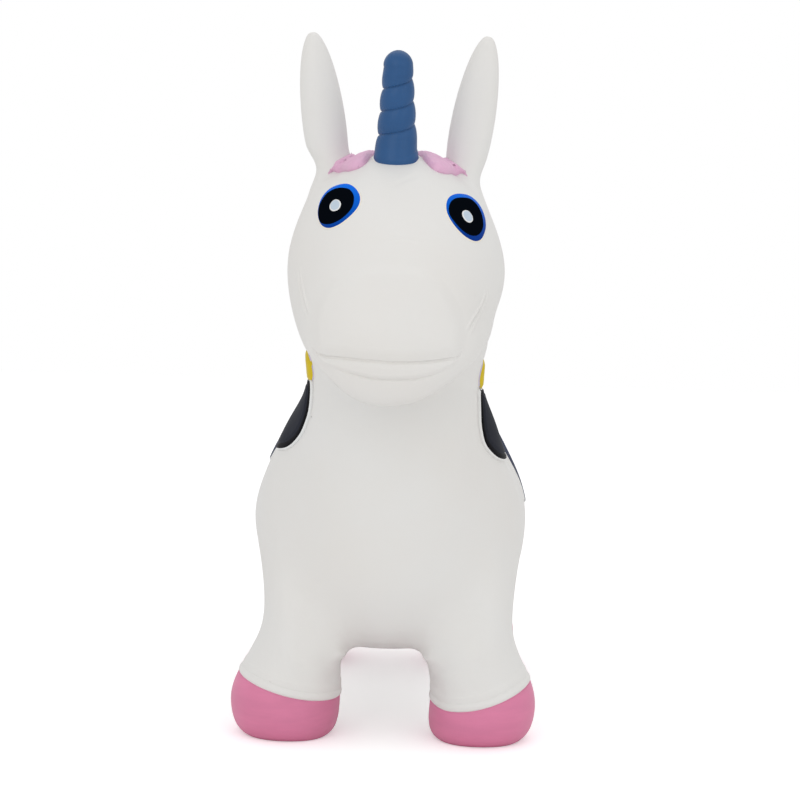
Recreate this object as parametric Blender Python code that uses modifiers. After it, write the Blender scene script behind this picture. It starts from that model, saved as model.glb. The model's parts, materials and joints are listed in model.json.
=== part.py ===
"""Inflatable ride-on unicorn: a hollow moulded skin in its zones, its raised trim and its air valve.

The toy faces -Y and stands on four flat soles at z = 0, with its length centred on the origin.
"""

import math

import bmesh
import bpy
from mathutils import Matrix, Vector
from mathutils.bvhtree import BVHTree

# Skin and fits
WALL = 0.0028
CLEARANCE = 0.0003
OVERRUN = 0.010

# Body
BODY_LENGTH = 0.450
BODY_HEIGHT = 0.228
BODY_WIDTH = 0.252
BELLY_Z = 0.064

# Head and neck
HEAD_LENGTH = 0.212
HEAD_HEIGHT = 0.205
HEAD_WIDTH = 0.184
HEAD_OVERHANG = 0.104
FACE_CANT = math.radians(4.5)
CHIN_RISE = 0.005

# Legs and hooves
HOOF_SPREAD = 0.0845
REAR_SPREAD = 0.0815
HOOF_WIDTH = 0.097
HOOF_LENGTH = 0.096
HOOF_HEIGHT = 0.044
LEG_SPLAY = math.radians(12.5)
LEG_TOP = 0.0700

# Ears
EAR_LENGTH = 0.130
EAR_WIDTH = 0.038
EAR_THICKNESS = 0.030
EAR_SPREAD = 0.0545
EAR_LEAN_OUT = math.radians(9.0)
EAR_LEAN_BACK = math.radians(4.0)
EAR_HINGE_RISE = 0.042
EAR_SEAM_MARGIN = 0.0015

# Horn
HORN_LENGTH = 0.087
HORN_WIDTH = 0.0375
HORN_TIP_WIDTH = 0.024
HORN_PITCH = 0.0205
HORN_GROOVE = 0.0016
HORN_SINK = 0.012
HORN_LEAN = math.radians(12.0)
HORN_WALL = 0.0030

# Eyes
EYE_WIDTH = 0.039
EYE_HEIGHT = 0.050
EYE_RING = 0.0042
EYE_GLINT = 0.0105
EYE_RELIEF = 0.0012
EYE_SPREAD = 0.052
EYE_RISE = 0.156
EYE_TILT = math.radians(22.0)

# Saddle
BLANKET_RELIEF = 0.0015
SEAT_RELIEF = 0.0031
POMMEL_RELIEF = 0.0042
SADDLE_LENGTH = 0.255
FLAP_DROP = 0.050
BLANKET_DROP = 0.084
BLANKET_LENGTH = 0.200
BLANKET_SET_BACK = 0.085
POMMEL_SET_BACK = 0.001
POMMEL_LENGTH = 0.060
POMMEL_RISE = 0.014
POMMEL_LEAN = math.radians(62.0)

# Mane, forelock and tail
MANE_RELIEF = 0.0060
MANE_WIDTH = 0.046
MANE_LOCKS = 5
FORELOCK_RELIEF = 0.0026
TAIL_RELIEF = 0.0090
TAIL_LENGTH = 0.140
TAIL_WIDTH = 0.050

# Air valve
VALVE_BORE = 0.0090
VALVE_TUBE = 0.0160
VALVE_FLANGE = 0.0300
VALVE_DEPTH = 0.0150
FLANGE_THICKNESS = 0.0020
PLUG_HEAD = 0.0200
PLUG_HEAD_THICKNESS = 0.0025
PLUG_SHANK = 0.0110

# Places that follow from the sizes
TOTAL_LENGTH = BODY_LENGTH + HEAD_OVERHANG
NOSE_Y = -TOTAL_LENGTH / 2
CHEST_Y = NOSE_Y + HEAD_OVERHANG
BACK_Z = BELLY_Z + BODY_HEIGHT
CHIN_Z = BACK_Z + CHIN_RISE
SPAN = TOTAL_LENGTH + BODY_WIDTH

# Cage of the torso: top along and up, bottom along and up, half width, and how much the top is
# pinched in, all as shares of the body's length, height and half width
TORSO_SHARES = (
    (0.972, 0.76, 0.962, 0.23, 0.50, 0.00),
    (0.915, 0.91, 0.895, 0.09, 0.78, 0.00),
    (0.805, 0.99, 0.795, 0.02, 0.93, 0.02),
    (0.690, 1.00, 0.680, 0.00, 0.985, 0.05),
    (0.560, 0.985, 0.550, 0.00, 1.00, 0.12),
    (0.450, 1.01, 0.405, 0.00, 1.00, 0.24),
    (0.360, 1.08, 0.262, 0.00, 0.965, 0.36),
    (0.310, 1.20, 0.150, 0.00, 0.925, 0.46),
    (0.285, 1.32, 0.055, 0.08, 0.82, 0.48),
    (0.265, 1.43, 0.005, 0.40, 0.63, 0.26),
)
# The same for the neck and head, in shares of the head's length, height and half width
HEAD_SHARES = (
    (0.985, 0.54, 0.505, -0.28, 0.79, 0.08),
    (0.990, 0.70, 0.515, -0.06, 0.81, 0.00),
    (0.955, 0.86, 0.500, 0.08, 0.87, 0.14),
    (0.840, 0.98, 0.455, 0.12, 0.96, 0.20),
    (0.660, 1.01, 0.390, 0.10, 1.00, 0.15),
    (0.450, 0.92, 0.310, 0.06, 0.93, 0.06),
    (0.280, 0.755, 0.215, 0.02, 0.80, 0.02),
    (0.140, 0.620, 0.125, 0.00, 0.72, 0.00),
    (0.030, 0.46, 0.050, 0.08, 0.54, 0.00),
)
# Where the face's lean starts behind the eyes, and where it is whole
CANT_SHARES = (0.80, 0.40)
CAGE_SIDES = 16
REAR_LEG_RING, FRONT_LEG_RING, EAR_RING = 1, 6, 12
LEG_CORNER, EAR_CORNER = 5, 3
RUMP_BULGE_SHARE, NOSE_BULGE_SHARE = 0.036, 0.078
CAP_FLATTEN_SHARE = 0.45

# Leg rings: height as a share of the belly's, centre as a share of the hoof's spread, half width
# and half length as shares of the hoof's, and how much of the splay the ring leans
LEG_SHARES = (
    (1.45, 0.825, 0.720, 0.870, 1.0),
    (1.05, 0.885, 0.860, 0.890, 1.0),
    (0.84, 0.940, 0.890, 0.930, 1.0),
    (0.50, 1.000, 1.000, 1.000, 0.9),
    (0.17, 1.000, 0.985, 0.970, 0.4),
    (-0.05, 1.000, 0.840, 0.830, 0.0),
)
REAR_LEG_SHARE, FRONT_LEG_SHARE = 0.775, 0.130

# Ear rings: place along the ear, half width and half thickness as shares
EAR_SHARES = (
    (0.05, 0.76, 1.05),
    (0.24, 0.97, 0.98),
    (0.50, 0.98, 0.88),
    (0.74, 0.80, 0.72),
    (0.90, 0.54, 0.52),
    (0.99, 0.22, 0.26),
)
EAR_PLACE_SHARE, EAR_BASE_SHARE = 0.800, 0.86

# Where the skin's zones meet: two points of each seam in the plane of symmetry, as shares of the
# body's or the head's length and height
NECK_SEAM_SHARES = ((0.02, 0.70), (0.33, 1.06))
HEAD_SEAM_SHARES = ((0.50, 0.00), (1.00, 0.64))
MUZZLE_SEAM_SHARES = ((0.40, 0.02), (0.21, 0.66))

# Horn: place along the head, and the height of its round end
HORN_PLACE_SHARE = 0.615
HORN_SIDES, HORN_STEPS = 16, 22
HORN_DOME_SHARE = 0.12

# Saddle outlines in the side view: corners as shares of the saddle's length and of its drop below
# the back, with the corner radius as a share of the drop
SADDLE_PLACE_SHARE = 0.090
POMMEL_TOE_SHARE = 0.16
FLAP_SHARES = (
    (0.00, 0.30, 0.40),
    (0.05, 0.94, 0.50),
    (0.20, 1.02, 0.40),
    (0.36, 0.62, 0.60),
    (0.92, 0.62, 0.50),
)
BLANKET_SHARES = ((0.00, 1.00, 0.25), (0.94, 1.00, 0.35))

# Mane: its lower end, the turn of its front edge and its upper end, as shares of the head's size,
# how deep its edge is drawn in between locks, and how far it narrows to its lower end
MANE_SHARES = ((0.955, 0.33), (0.82, 0.50), (0.865, 0.98))
LOCK_DEPTH_SHARE, MANE_TAPER_SHARE = 0.34, 0.45
# Forelock seen from the front: corners as shares of the head's half width and height, and radius
# as a share of the half width
FORELOCK_SHARES = (
    (0.19, 1.10, 0.0),
    (0.19, 0.985, 0.0),
    (0.34, 0.920, 0.16),
    (0.50, 0.893, 0.10),
    (0.68, 0.885, 0.0),
    (0.55, 0.945, 0.08),
    (0.41, 0.972, 0.04),
    (0.37, 1.10, 0.0),
)
FORELOCK_BACK_SHARE = 0.84
EYE_PLACE_SHARE = 0.46
# Tail seen from behind: corners as shares of its half width and of its length down from its root
TAIL_SHARES = (
    (0.30, 0.00, 0.25),
    (0.34, 0.18, 1.50),
    (0.95, 0.48, 1.20),
    (0.90, 0.78, 1.00),
    (0.00, 1.00, 0.00),
)
TAIL_ROOT_SHARE = 0.90
VALVE_PLACE_SHARE = 0.47
ROUND_SIDES = 28
CORNER_STEPS = 4

COLOURS = {
    "white": (0.76, 0.75, 0.72),
    "pink": (0.67, 0.22, 0.35),
    "pale_pink": (0.72, 0.43, 0.58),
    "blue": (0.022, 0.078, 0.209),
    "black": (0.026, 0.028, 0.032),
    "navy": (0.008, 0.018, 0.060),
    "yellow": (0.64, 0.49, 0.02),
    "eye_blue": (0.002, 0.095, 0.485),
    "eye_black": (0.002, 0.003, 0.004),
    "eye_white": (0.60, 0.68, 0.75),
}


def clear_scene():
    for obj in list(bpy.data.objects):
        bpy.data.objects.remove(obj)


def collection(name):
    made = bpy.data.collections.new(name)
    bpy.context.scene.collection.children.link(made)
    return made


clear_scene()
PARTS = collection("ride_on_unicorn")
CUTTERS = collection("cutters")


def add(name, data, where, origin=(0, 0, 0)):
    obj = bpy.data.objects.new(name, data)
    obj.location = origin
    where.objects.link(obj)
    if where is CUTTERS:
        obj.hide_render = True
        obj.display_type = "WIRE"
    return obj


def paint(obj, colour, roughness=0.5):
    mat = bpy.data.materials.new(obj.name)
    mat.use_nodes = True
    shader = mat.node_tree.nodes["Principled BSDF"]
    shader.inputs["Base Color"].default_value = (*COLOURS[colour], 1)
    shader.inputs["Roughness"].default_value = roughness
    shader.inputs["Metallic"].default_value = 0
    mat.diffuse_color = (*COLOURS[colour], 1)
    obj.data.materials.clear()
    obj.data.materials.append(mat)
    return obj


def cut(obj, tool, operation="DIFFERENCE"):
    mod = obj.modifiers.new(tool.name, "BOOLEAN")
    mod.object = tool
    mod.operation = operation
    return obj


def mesh_from(bm, name):
    mesh = bpy.data.meshes.new(name)
    bm.to_mesh(mesh)
    bm.free()
    return mesh


def evaluated_mesh(obj):
    bpy.context.view_layer.update()
    graph = bpy.context.evaluated_depsgraph_get()
    return bpy.data.meshes.new_from_object(obj.evaluated_get(graph))


# Cage of the whole skin


def torso_point(along, up):
    return Vector((0, CHEST_Y + along * BODY_LENGTH, BELLY_Z + up * BODY_HEIGHT))


def head_point(along, up):
    return Vector((0, NOSE_Y + along * HEAD_LENGTH, CHIN_Z + up * HEAD_HEIGHT))


def swell(count):
    """How far out a cage ring of so many corners stands, so that its smooth ring has radius 1."""
    return 6 / (4 + 2 * math.cos(2 * math.pi / count))


def section(top, bottom, half_width, pinch):
    """Corners of one cage ring, from the top round by +X, and its centre."""
    middle, rise = (top + bottom) / 2, (top - bottom) / 2
    corners = []
    for k in range(CAGE_SIDES):
        angle = 2 * math.pi * k / CAGE_SIDES
        side, height = math.sin(angle), math.cos(angle)
        reach = half_width * side * (1 - pinch * max(height, 0))
        corners.append(middle + (rise * height + Vector((reach, 0, 0))) * swell(CAGE_SIDES))
    return corners, middle


def close_end(bm, ring, forward):
    """Four by four faces that close a ring of 16 corners, bulged along forward."""
    edge = [(i, 0) for i in range(4)] + [(4, j) for j in range(4)]
    edge += [(4 - i, 4) for i in range(4)] + [(0, 4 - j) for j in range(4)]
    first = CAGE_SIDES - 2
    grid = {place: ring[(first + n) % CAGE_SIDES] for n, place in enumerate(edge)}
    for i in (1, 2, 3):
        for j in (1, 2, 3):
            across = grid[(0, j)].co.lerp(grid[(4, j)].co, i / 4)
            down = grid[(i, 0)].co.lerp(grid[(i, 4)].co, j / 4)
            off_centre = ((i - 2) ** 2 + (j - 2) ** 2) / 2
            bulge = forward * (1 - CAP_FLATTEN_SHARE * off_centre)
            grid[(i, j)] = bm.verts.new((across + down) / 2 + bulge)
    for i in range(4):
        for j in range(4):
            bm.faces.new((grid[(i, j)], grid[(i + 1, j)], grid[(i + 1, j + 1)], grid[(i, j + 1)]))


LOOP = ((1, 1), (0, 1), (-1, 1), (-1, 0), (-1, -1), (0, -1), (1, -1), (1, 0))


def limb_opening(rings, ring, outer, side):
    """The eight corners round two by two faces left open for a limb, and the quads left out."""
    step = 1 if outer < 4 else -1
    around = [(side * (outer - n * step)) % CAGE_SIDES for n in range(3)]
    rows = {1: rings[ring], 0: rings[ring + 1], -1: rings[ring + 2]}
    corners = [rows[back][around[1 - out]] for out, back in LOOP]
    left_out = {(ring + row, min(a, b)) for row in (0, 1)
                for a, b in zip(around, around[1:])}
    return corners, left_out


def limb(bm, opening, frames):
    """Faces from an opening along rings (centre, half width, half length, across, along)."""
    last = opening
    for centre, half_width, half_length, across, along in frames:
        ring = []
        for out, back in LOOP:
            size = swell(len(LOOP)) / math.hypot(out, back)
            corner = centre + across * (out * half_width * size) + along * (back * half_length * size)
            ring.append(bm.verts.new(corner))
        for n in range(len(LOOP)):
            m = (n + 1) % len(LOOP)
            bm.faces.new((last[n], last[m], ring[m], ring[n]))
        last = ring
    tip = bm.verts.new(sum((v.co for v in last), Vector()) / len(last))
    for n in range(0, len(last), 2):
        bm.faces.new((last[n], last[(n + 1) % len(last)], tip, last[n - 1]))


def leg_y(share):
    return CHEST_Y + share * BODY_LENGTH


def leg_frames(share, spread, side):
    frames = []
    for up, out, width, length, lean in LEG_SHARES:
        centre = Vector((side * out * spread, leg_y(share), up * BELLY_Z))
        angle = LEG_SPLAY * lean
        across = Vector((side * math.cos(angle), 0, math.sin(angle)))
        frames.append((centre, width * HOOF_WIDTH / 2, length * HOOF_LENGTH / 2, across,
                       Vector((0, 1, 0))))
    return frames


def ear_base(side):
    place = head_point(EAR_PLACE_SHARE, EAR_BASE_SHARE)
    return Vector((side * EAR_SPREAD, place.y, place.z))


def ear_axis(side):
    return Vector((side * math.sin(EAR_LEAN_OUT), math.sin(EAR_LEAN_BACK), math.cos(EAR_LEAN_OUT)))


def ear_frames(side):
    axis = ear_axis(side).normalized()
    across = Vector((side * axis.z, 0, -side * axis.x)).normalized()
    frames = []
    for along, width, thick in EAR_SHARES:
        centre = ear_base(side) + axis * (along * EAR_LENGTH)
        frames.append((centre, width * EAR_WIDTH / 2, thick * EAR_THICKNESS / 2, across,
                       Vector((0, 1, 0))))
    return frames


def canted(point):
    """The face leans a little to one side: a point turned about the head's middle, most in front."""
    back, front = head_point(CANT_SHARES[0], 0).y, head_point(CANT_SHARES[1], 0).y
    share = min(max((back - point.y) / (back - front), 0), 1)
    if point.z < CHIN_Z - CHIN_RISE - WALL:
        share = 0
    middle = head_point(CANT_SHARES[1], 0.5)
    turn = Matrix.Rotation(FACE_CANT * share * share * (3 - 2 * share), 3, "Y")
    return middle + turn @ (point - middle)


def whole_form():
    """Smooth outer surface of the whole skin, as one closed mesh with its soles pressed flat."""
    bm = bmesh.new()
    rings = []
    half_body, half_head = BODY_WIDTH / 2, HEAD_WIDTH / 2
    for shares, point, half in ((TORSO_SHARES, torso_point, half_body),
                                (HEAD_SHARES, head_point, half_head)):
        for ty, tz, by, bz, width, pinch in shares:
            corners, _ = section(point(ty, tz), point(by, bz), half * width, pinch)
            rings.append([bm.verts.new(canted(corner)) for corner in corners])
    left_out = set()
    for ring, share, spread in ((REAR_LEG_RING, REAR_LEG_SHARE, REAR_SPREAD),
                                (FRONT_LEG_RING, FRONT_LEG_SHARE, HOOF_SPREAD)):
        for side in (1, -1):
            opening, missing = limb_opening(rings, ring, LEG_CORNER, side)
            left_out |= missing
            limb(bm, opening, leg_frames(share, spread, side))
    for side in (1, -1):
        opening, missing = limb_opening(rings, EAR_RING, EAR_CORNER, side)
        left_out |= missing
        limb(bm, opening, ear_frames(side))
    for j in range(len(rings) - 1):
        for k in range(CAGE_SIDES):
            m = (k + 1) % CAGE_SIDES
            if (j, k) not in left_out:
                bm.faces.new((rings[j][k], rings[j][m], rings[j + 1][m], rings[j + 1][k]))
    close_end(bm, rings[0], Vector((0, RUMP_BULGE_SHARE * BODY_LENGTH, 0)))
    close_end(bm, rings[-1], Vector((0, -NOSE_BULGE_SHARE * HEAD_LENGTH, 0)))
    bmesh.ops.delete(bm, geom=[v for v in bm.verts if not v.link_faces], context="VERTS")
    bmesh.ops.recalc_face_normals(bm, faces=bm.faces)
    cage = add("cage", mesh_from(bm, "cage"), CUTTERS)
    smooth = cage.modifiers.new("smooth", "SUBSURF")
    smooth.levels = smooth.render_levels = 1
    split = cage.modifiers.new("split", "TRIANGULATE")
    split.quad_method = "SHORTEST_DIAGONAL"
    form = evaluated_mesh(cage)
    bpy.data.objects.remove(cage)
    for vert in form.vertices:
        vert.co.z = max(vert.co.z, 0)
    form.shade_smooth()
    return form


FORM = whole_form()
SURFACE = BVHTree.FromPolygons([v.co for v in FORM.vertices], [p.vertices for p in FORM.polygons])


def on_skin(start, direction):
    """Point and normal where a line from outside first meets the skin."""
    point, normal, _, _ = SURFACE.ray_cast(Vector(start), Vector(direction))
    return point, normal


# Tools that cut the skin into its zones


def skin(name, origin=(0, 0, 0)):
    """The whole skin with its wall, ready to be cut down to one zone."""
    mesh = FORM.copy()
    mesh.name = name
    mesh.transform(Matrix.Translation(-Vector(origin)))
    obj = add(name, mesh, PARTS, origin)
    wall = obj.modifiers.new("wall", "SOLIDIFY")
    wall.thickness = WALL
    wall.offset = -1
    return obj


def offset_form(name, base, height, where):
    """The whole form lifted base above the skin; with a height, a layer that thick on top of it."""
    obj = add(name, FORM.copy(), where)
    lift = obj.modifiers.new("lift", "DISPLACE")
    lift.mid_level = 0
    lift.strength = base
    if height:
        layer = obj.modifiers.new("layer", "SOLIDIFY")
        layer.thickness = height
        layer.offset = 1
    return obj


def block(name, low, high, matrix=None):
    """Box cutter between two corners, in the space of a matrix."""
    bm = bmesh.new()
    bmesh.ops.create_cube(bm, size=1)
    low, high = Vector(low), Vector(high)
    size = high - low
    bmesh.ops.scale(bm, vec=size, verts=bm.verts)
    bmesh.ops.translate(bm, vec=(low + high) / 2, verts=bm.verts)
    if matrix:
        bmesh.ops.transform(bm, matrix=matrix, verts=bm.verts)
    return add(name, mesh_from(bm, name), CUTTERS)


def half_space(name, point, direction, shift):
    """Box cutter that holds everything past a plane, which is moved back by shift."""
    turn = Vector(direction).to_track_quat("Z", "Y").to_matrix().to_4x4()
    place = Matrix.Translation(point) @ turn
    return block(name, (-SPAN, -SPAN, -shift), (SPAN, SPAN, 2 * SPAN), place)


def seam(shares, place):
    """Middle and normal of a seam through two points of the plane of symmetry."""
    low, high = (place(along, up) for along, up in shares)
    line = high - low
    return (low + high) / 2, Vector((0, -line.z, line.y)).normalized()


def arc(centre, radius, first, last, steps):
    turns = [first + (last - first) * n / steps for n in range(steps + 1)]
    return [(centre[0] + radius * math.cos(a), centre[1] + radius * math.sin(a)) for a in turns]


def rounded(corners):
    """Outline through (x, y, radius) corners, each rounded by an arc of its radius."""
    points = []
    for n, (x, y, radius) in enumerate(corners):
        here = Vector((x, y))
        back = (Vector(corners[n - 1][:2]) - here).normalized()
        ahead = (Vector(corners[(n + 1) % len(corners)][:2]) - here).normalized()
        if not radius:
            points.append((x, y))
            continue
        half = back.angle(ahead) / 2
        centre = here + (back + ahead).normalized() * (radius / math.sin(half))
        reach = radius / math.tan(half)
        ends = [here + side * reach - centre for side in (back, ahead)]
        first, last = (math.atan2(end.y, end.x) for end in ends)
        sweep = (last - first + math.pi) % (2 * math.pi) - math.pi
        points += arc(centre, radius, first, first + sweep, CORNER_STEPS)
    return points


def prism(name, outline, half_thickness, matrix):
    """Flat outline made solid: a filled curve with its thickness, turned into a closed mesh."""
    curve = bpy.data.curves.new(name, "CURVE")
    curve.dimensions = "2D"
    curve.fill_mode = "BOTH"
    curve.extrude = half_thickness
    spline = curve.splines.new("POLY")
    spline.points.add(len(outline) - 1)
    for point, (x, y) in zip(spline.points, outline):
        point.co = (x, y, 0, 1)
    spline.use_cyclic_u = True
    flat = add(name + "_outline", curve, CUTTERS)
    mesh = evaluated_mesh(flat)
    bpy.data.objects.remove(flat)
    bm = bmesh.new()
    bm.from_mesh(mesh)
    bmesh.ops.remove_doubles(bm, verts=bm.verts, dist=CLEARANCE / 10)
    bmesh.ops.transform(bm, matrix=matrix, verts=bm.verts)
    bmesh.ops.recalc_face_normals(bm, faces=bm.faces)
    return add(name, mesh_from(bm, name), CUTTERS)


# An outline's own x and y become y and z of a side view, or x and z of a view from behind
SIDE_VIEW = Matrix(((0, 0, 1, 0), (1, 0, 0, 0), (0, 1, 0, 0), (0, 0, 0, 1)))
REAR_VIEW = Matrix(((1, 0, 0, 0), (0, 0, -1, 0), (0, 1, 0, 0), (0, 0, 0, 1)))


def round_cutter(name, radius, length, matrix, top_radius=None):
    """Cylinder or cone along the local Z of a matrix, from its origin up."""
    bm = bmesh.new()
    bmesh.ops.create_cone(bm, cap_ends=True, segments=ROUND_SIDES, radius1=radius,
                          radius2=radius if top_radius is None else top_radius, depth=length)
    bmesh.ops.translate(bm, vec=(0, 0, length / 2), verts=bm.verts)
    bmesh.ops.transform(bm, matrix=matrix, verts=bm.verts)
    return add(name, mesh_from(bm, name), CUTTERS)


# Legs and hooves


def leg_matrix(share, spread, side):
    """Frame of one leg: origin at the middle of its sole, Z up along its splayed axis."""
    base = Matrix.Translation((side * spread, leg_y(share), 0))
    return base @ Matrix.Rotation(-side * LEG_SPLAY, 4, "Y")


def make_leg(name, share, spread, side):
    """One lower leg and its hoof; gives back the box that holds both."""
    frame = leg_matrix(share, spread, side)
    reach = HOOF_WIDTH / 2 + OVERRUN * 2
    inner = -side * spread
    sides = sorted((inner, side * reach))
    low, high = (sides[0], -reach, -SPAN), (sides[1], reach, 0)
    hoof_box = block(name + "_hoof_box", low, (high[0], high[1], HOOF_HEIGHT), frame)
    leg_box = block(name + "_leg_box", (low[0], low[1], HOOF_HEIGHT + CLEARANCE),
                    (high[0], high[1], LEG_TOP), frame)
    both = block(name + "_limb_box", low, (high[0], high[1], LEG_TOP + CLEARANCE), frame)
    hoof = paint(skin(name + "_hoof", (side * spread, leg_y(share), 0)), "pink")
    cut(hoof, hoof_box, "INTERSECT")
    leg = paint(skin(name + "_leg"), "white")
    cut(leg, leg_box, "INTERSECT")
    return both


LEGS = (
    ("front_left", FRONT_LEG_SHARE, HOOF_SPREAD, 1),
    ("front_right", FRONT_LEG_SHARE, HOOF_SPREAD, -1),
    ("rear_left", REAR_LEG_SHARE, REAR_SPREAD, 1),
    ("rear_right", REAR_LEG_SHARE, REAR_SPREAD, -1),
)


# Ears, which flex about a line across each root


def ear_hinge(side):
    return ear_base(side) + ear_axis(side) * (EAR_HINGE_RISE / ear_axis(side).z)


def ear_outline(side, grow):
    """Side view of the ear past its seam: a half round that the ear turns in, and all above."""
    hinge = ear_hinge(side)
    radius = EAR_THICKNESS / 2 + EAR_SEAM_MARGIN + grow
    top = hinge.z + 2 * EAR_LENGTH
    points = arc((hinge.y, hinge.z), radius, math.pi, 2 * math.pi, 3 * CORNER_STEPS)
    return points + [(hinge.y + EAR_LENGTH, hinge.z), (hinge.y + EAR_LENGTH, top),
                     (hinge.y - EAR_LENGTH, top), (hinge.y - EAR_LENGTH, hinge.z)]


def ear_cutter(name, side, grow):
    hinge = ear_hinge(side)
    turn = Matrix.Translation((hinge.x, 0, 0)) @ SIDE_VIEW
    return prism(name, ear_outline(side, grow), EAR_WIDTH / 2 + OVERRUN + grow, turn)


def make_ear(name, side):
    ear = paint(skin(name, ear_hinge(side)), "white")
    cut(ear, ear_cutter(name + "_zone", side, 0), "INTERSECT")
    return ear_cutter(name + "_room", side, CLEARANCE)


# Horn


def horn_matrix():
    above = (0, NOSE_Y + HORN_PLACE_SHARE * HEAD_LENGTH, SPAN)
    point, _ = on_skin(above, (0, 0, -1))
    return Matrix.Translation(point) @ Matrix.Rotation(HORN_LEAN, 4, "X")


def horn_radius(height):
    """Radius of the horn's cone at a height above the head, without its groove."""
    share = min(max(height / HORN_LENGTH, 0), 1)
    radius = HORN_WIDTH / 2 + (HORN_TIP_WIDTH - HORN_WIDTH) / 2 * share
    dome = (share - 1 + HORN_DOME_SHARE) / HORN_DOME_SHARE
    return radius * math.sqrt(max(1 - dome * dome, 0)) if dome > 0 else radius


def horn_solid():
    """Loft whose rings are drawn in where one spiral groove passes."""
    bm = bmesh.new()
    rings = []
    for n in range(HORN_STEPS):
        height = -HORN_SINK + (HORN_LENGTH + HORN_SINK) * n / HORN_STEPS
        ring = []
        for k in range(HORN_SIDES):
            angle = 2 * math.pi * k / HORN_SIDES
            phase = (height / HORN_PITCH - k / HORN_SIDES) % 1
            groove = HORN_GROOVE * (1 - math.sqrt(math.sin(math.pi * phase)))
            radius = horn_radius(height) - groove
            ring.append(bm.verts.new((radius * math.cos(angle), radius * math.sin(angle), height)))
        rings.append(ring)
    for low, high in zip(rings, rings[1:]):
        for k in range(HORN_SIDES):
            m = (k + 1) % HORN_SIDES
            bm.faces.new((low[k], low[m], high[m], high[k]))
    tip = bm.verts.new((0, 0, HORN_LENGTH))
    for k in range(HORN_SIDES):
        bm.faces.new((rings[-1][k], rings[-1][(k + 1) % HORN_SIDES], tip))
    bm.faces.new(rings[0])
    bmesh.ops.recalc_face_normals(bm, faces=bm.faces)
    return mesh_from(bm, "horn")


def make_horn(head_room):
    frame = horn_matrix()
    horn = add("horn", horn_solid(), PARTS)
    horn.matrix_world = frame
    paint(horn, "blue")
    cut(horn, head_room)
    below = frame @ Matrix.Translation((0, 0, -2 * HORN_SINK))
    bore = round_cutter("horn_bore", HORN_WIDTH / 2 - HORN_WALL,
                        HORN_LENGTH * (1 - HORN_DOME_SHARE) + 2 * HORN_SINK, below,
                        HORN_TIP_WIDTH / 2 - HORN_WALL)
    cut(horn, bore)
    room = round_cutter("horn_room", HORN_WIDTH / 2 + CLEARANCE, 4 * HORN_SINK, below)
    horn.data.shade_smooth()
    return bore, room


# Skin zones


def make_skin():
    neck_at, neck_up = seam(NECK_SEAM_SHARES, torso_point)
    head_at, head_up = seam(HEAD_SEAM_SHARES, head_point)
    muzzle_at, muzzle_out = seam(MUZZLE_SEAM_SHARES, head_point)
    kerf = -CLEARANCE / 2
    torso = paint(skin("torso_skin"), "white")
    cut(torso, half_space("torso_side", neck_at, -neck_up, kerf), "INTERSECT")
    for name, share, spread, side in LEGS:
        cut(torso, make_leg(name, share, spread, side))
    neck = paint(skin("neck_skin"), "white")
    cut(neck, half_space("neck_low_side", neck_at, neck_up, kerf), "INTERSECT")
    cut(neck, half_space("neck_high_side", head_at, -head_up, kerf), "INTERSECT")
    head = paint(skin("head_skin"), "white")
    cut(head, half_space("head_side", head_at, head_up, kerf), "INTERSECT")
    cut(head, half_space("face_side", muzzle_at, -muzzle_out, kerf), "INTERSECT")
    for name, side in (("left_ear", 1), ("right_ear", -1)):
        cut(head, make_ear(name, side))
    muzzle = paint(skin("muzzle"), "white")
    cut(muzzle, half_space("muzzle_head_side", head_at, head_up, kerf), "INTERSECT")
    cut(muzzle, half_space("muzzle_side", muzzle_at, muzzle_out, kerf), "INTERSECT")
    return torso, head


# Raised trim


def relief(name, height, colour, tools, rooms=(), base=CLEARANCE):
    """Raised zone: a layer that follows the skin, within all the tools and clear of the rooms."""
    piece = paint(offset_form(name, base, height, PARTS), colour)
    for tool in tools:
        cut(piece, tool, "INTERSECT")
    for room in rooms:
        cut(piece, room)
    return piece


def eye_matrix(side):
    eye = canted(Vector((side * EYE_SPREAD, head_point(EYE_PLACE_SHARE, 0).y, CHIN_Z + EYE_RISE)))
    point, normal = on_skin((eye.x, -SPAN, eye.z), (0, 1, 0))
    turn = normal.to_track_quat("Z", "Y").to_matrix().to_4x4()
    return Matrix.Translation(point) @ turn @ Matrix.Rotation(side * EYE_TILT, 4, "Z")


def oval(name, frame, width, height):
    scale = Matrix.Diagonal((width / 2, height / 2, 1, 1))
    deep = Matrix.Translation((0, 0, -OVERRUN))
    return round_cutter(name, 1, 2 * OVERRUN, frame @ deep @ scale)


def make_eye(name, side):
    frame = eye_matrix(side)
    ring = 2 * EYE_RING
    sizes = (
        ("iris", EYE_WIDTH, EYE_HEIGHT, "eye_blue"),
        ("pupil", EYE_WIDTH - ring, EYE_HEIGHT - ring, "eye_black"),
        ("glint", EYE_GLINT, EYE_GLINT * EYE_HEIGHT / EYE_WIDTH, "eye_white"),
    )
    gap = 2 * CLEARANCE
    for n, (part, width, height, colour) in enumerate(sizes):
        outside = oval(f"{name}_{part}_edge", frame, width, height)
        rooms = []
        if n + 1 < len(sizes):
            inner = sizes[n + 1]
            rooms.append(oval(f"{name}_{part}_hole", frame, inner[1] + gap, inner[2] + gap))
        relief(f"{name}_{part}", EYE_RELIEF, colour, [outside], rooms)


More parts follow.
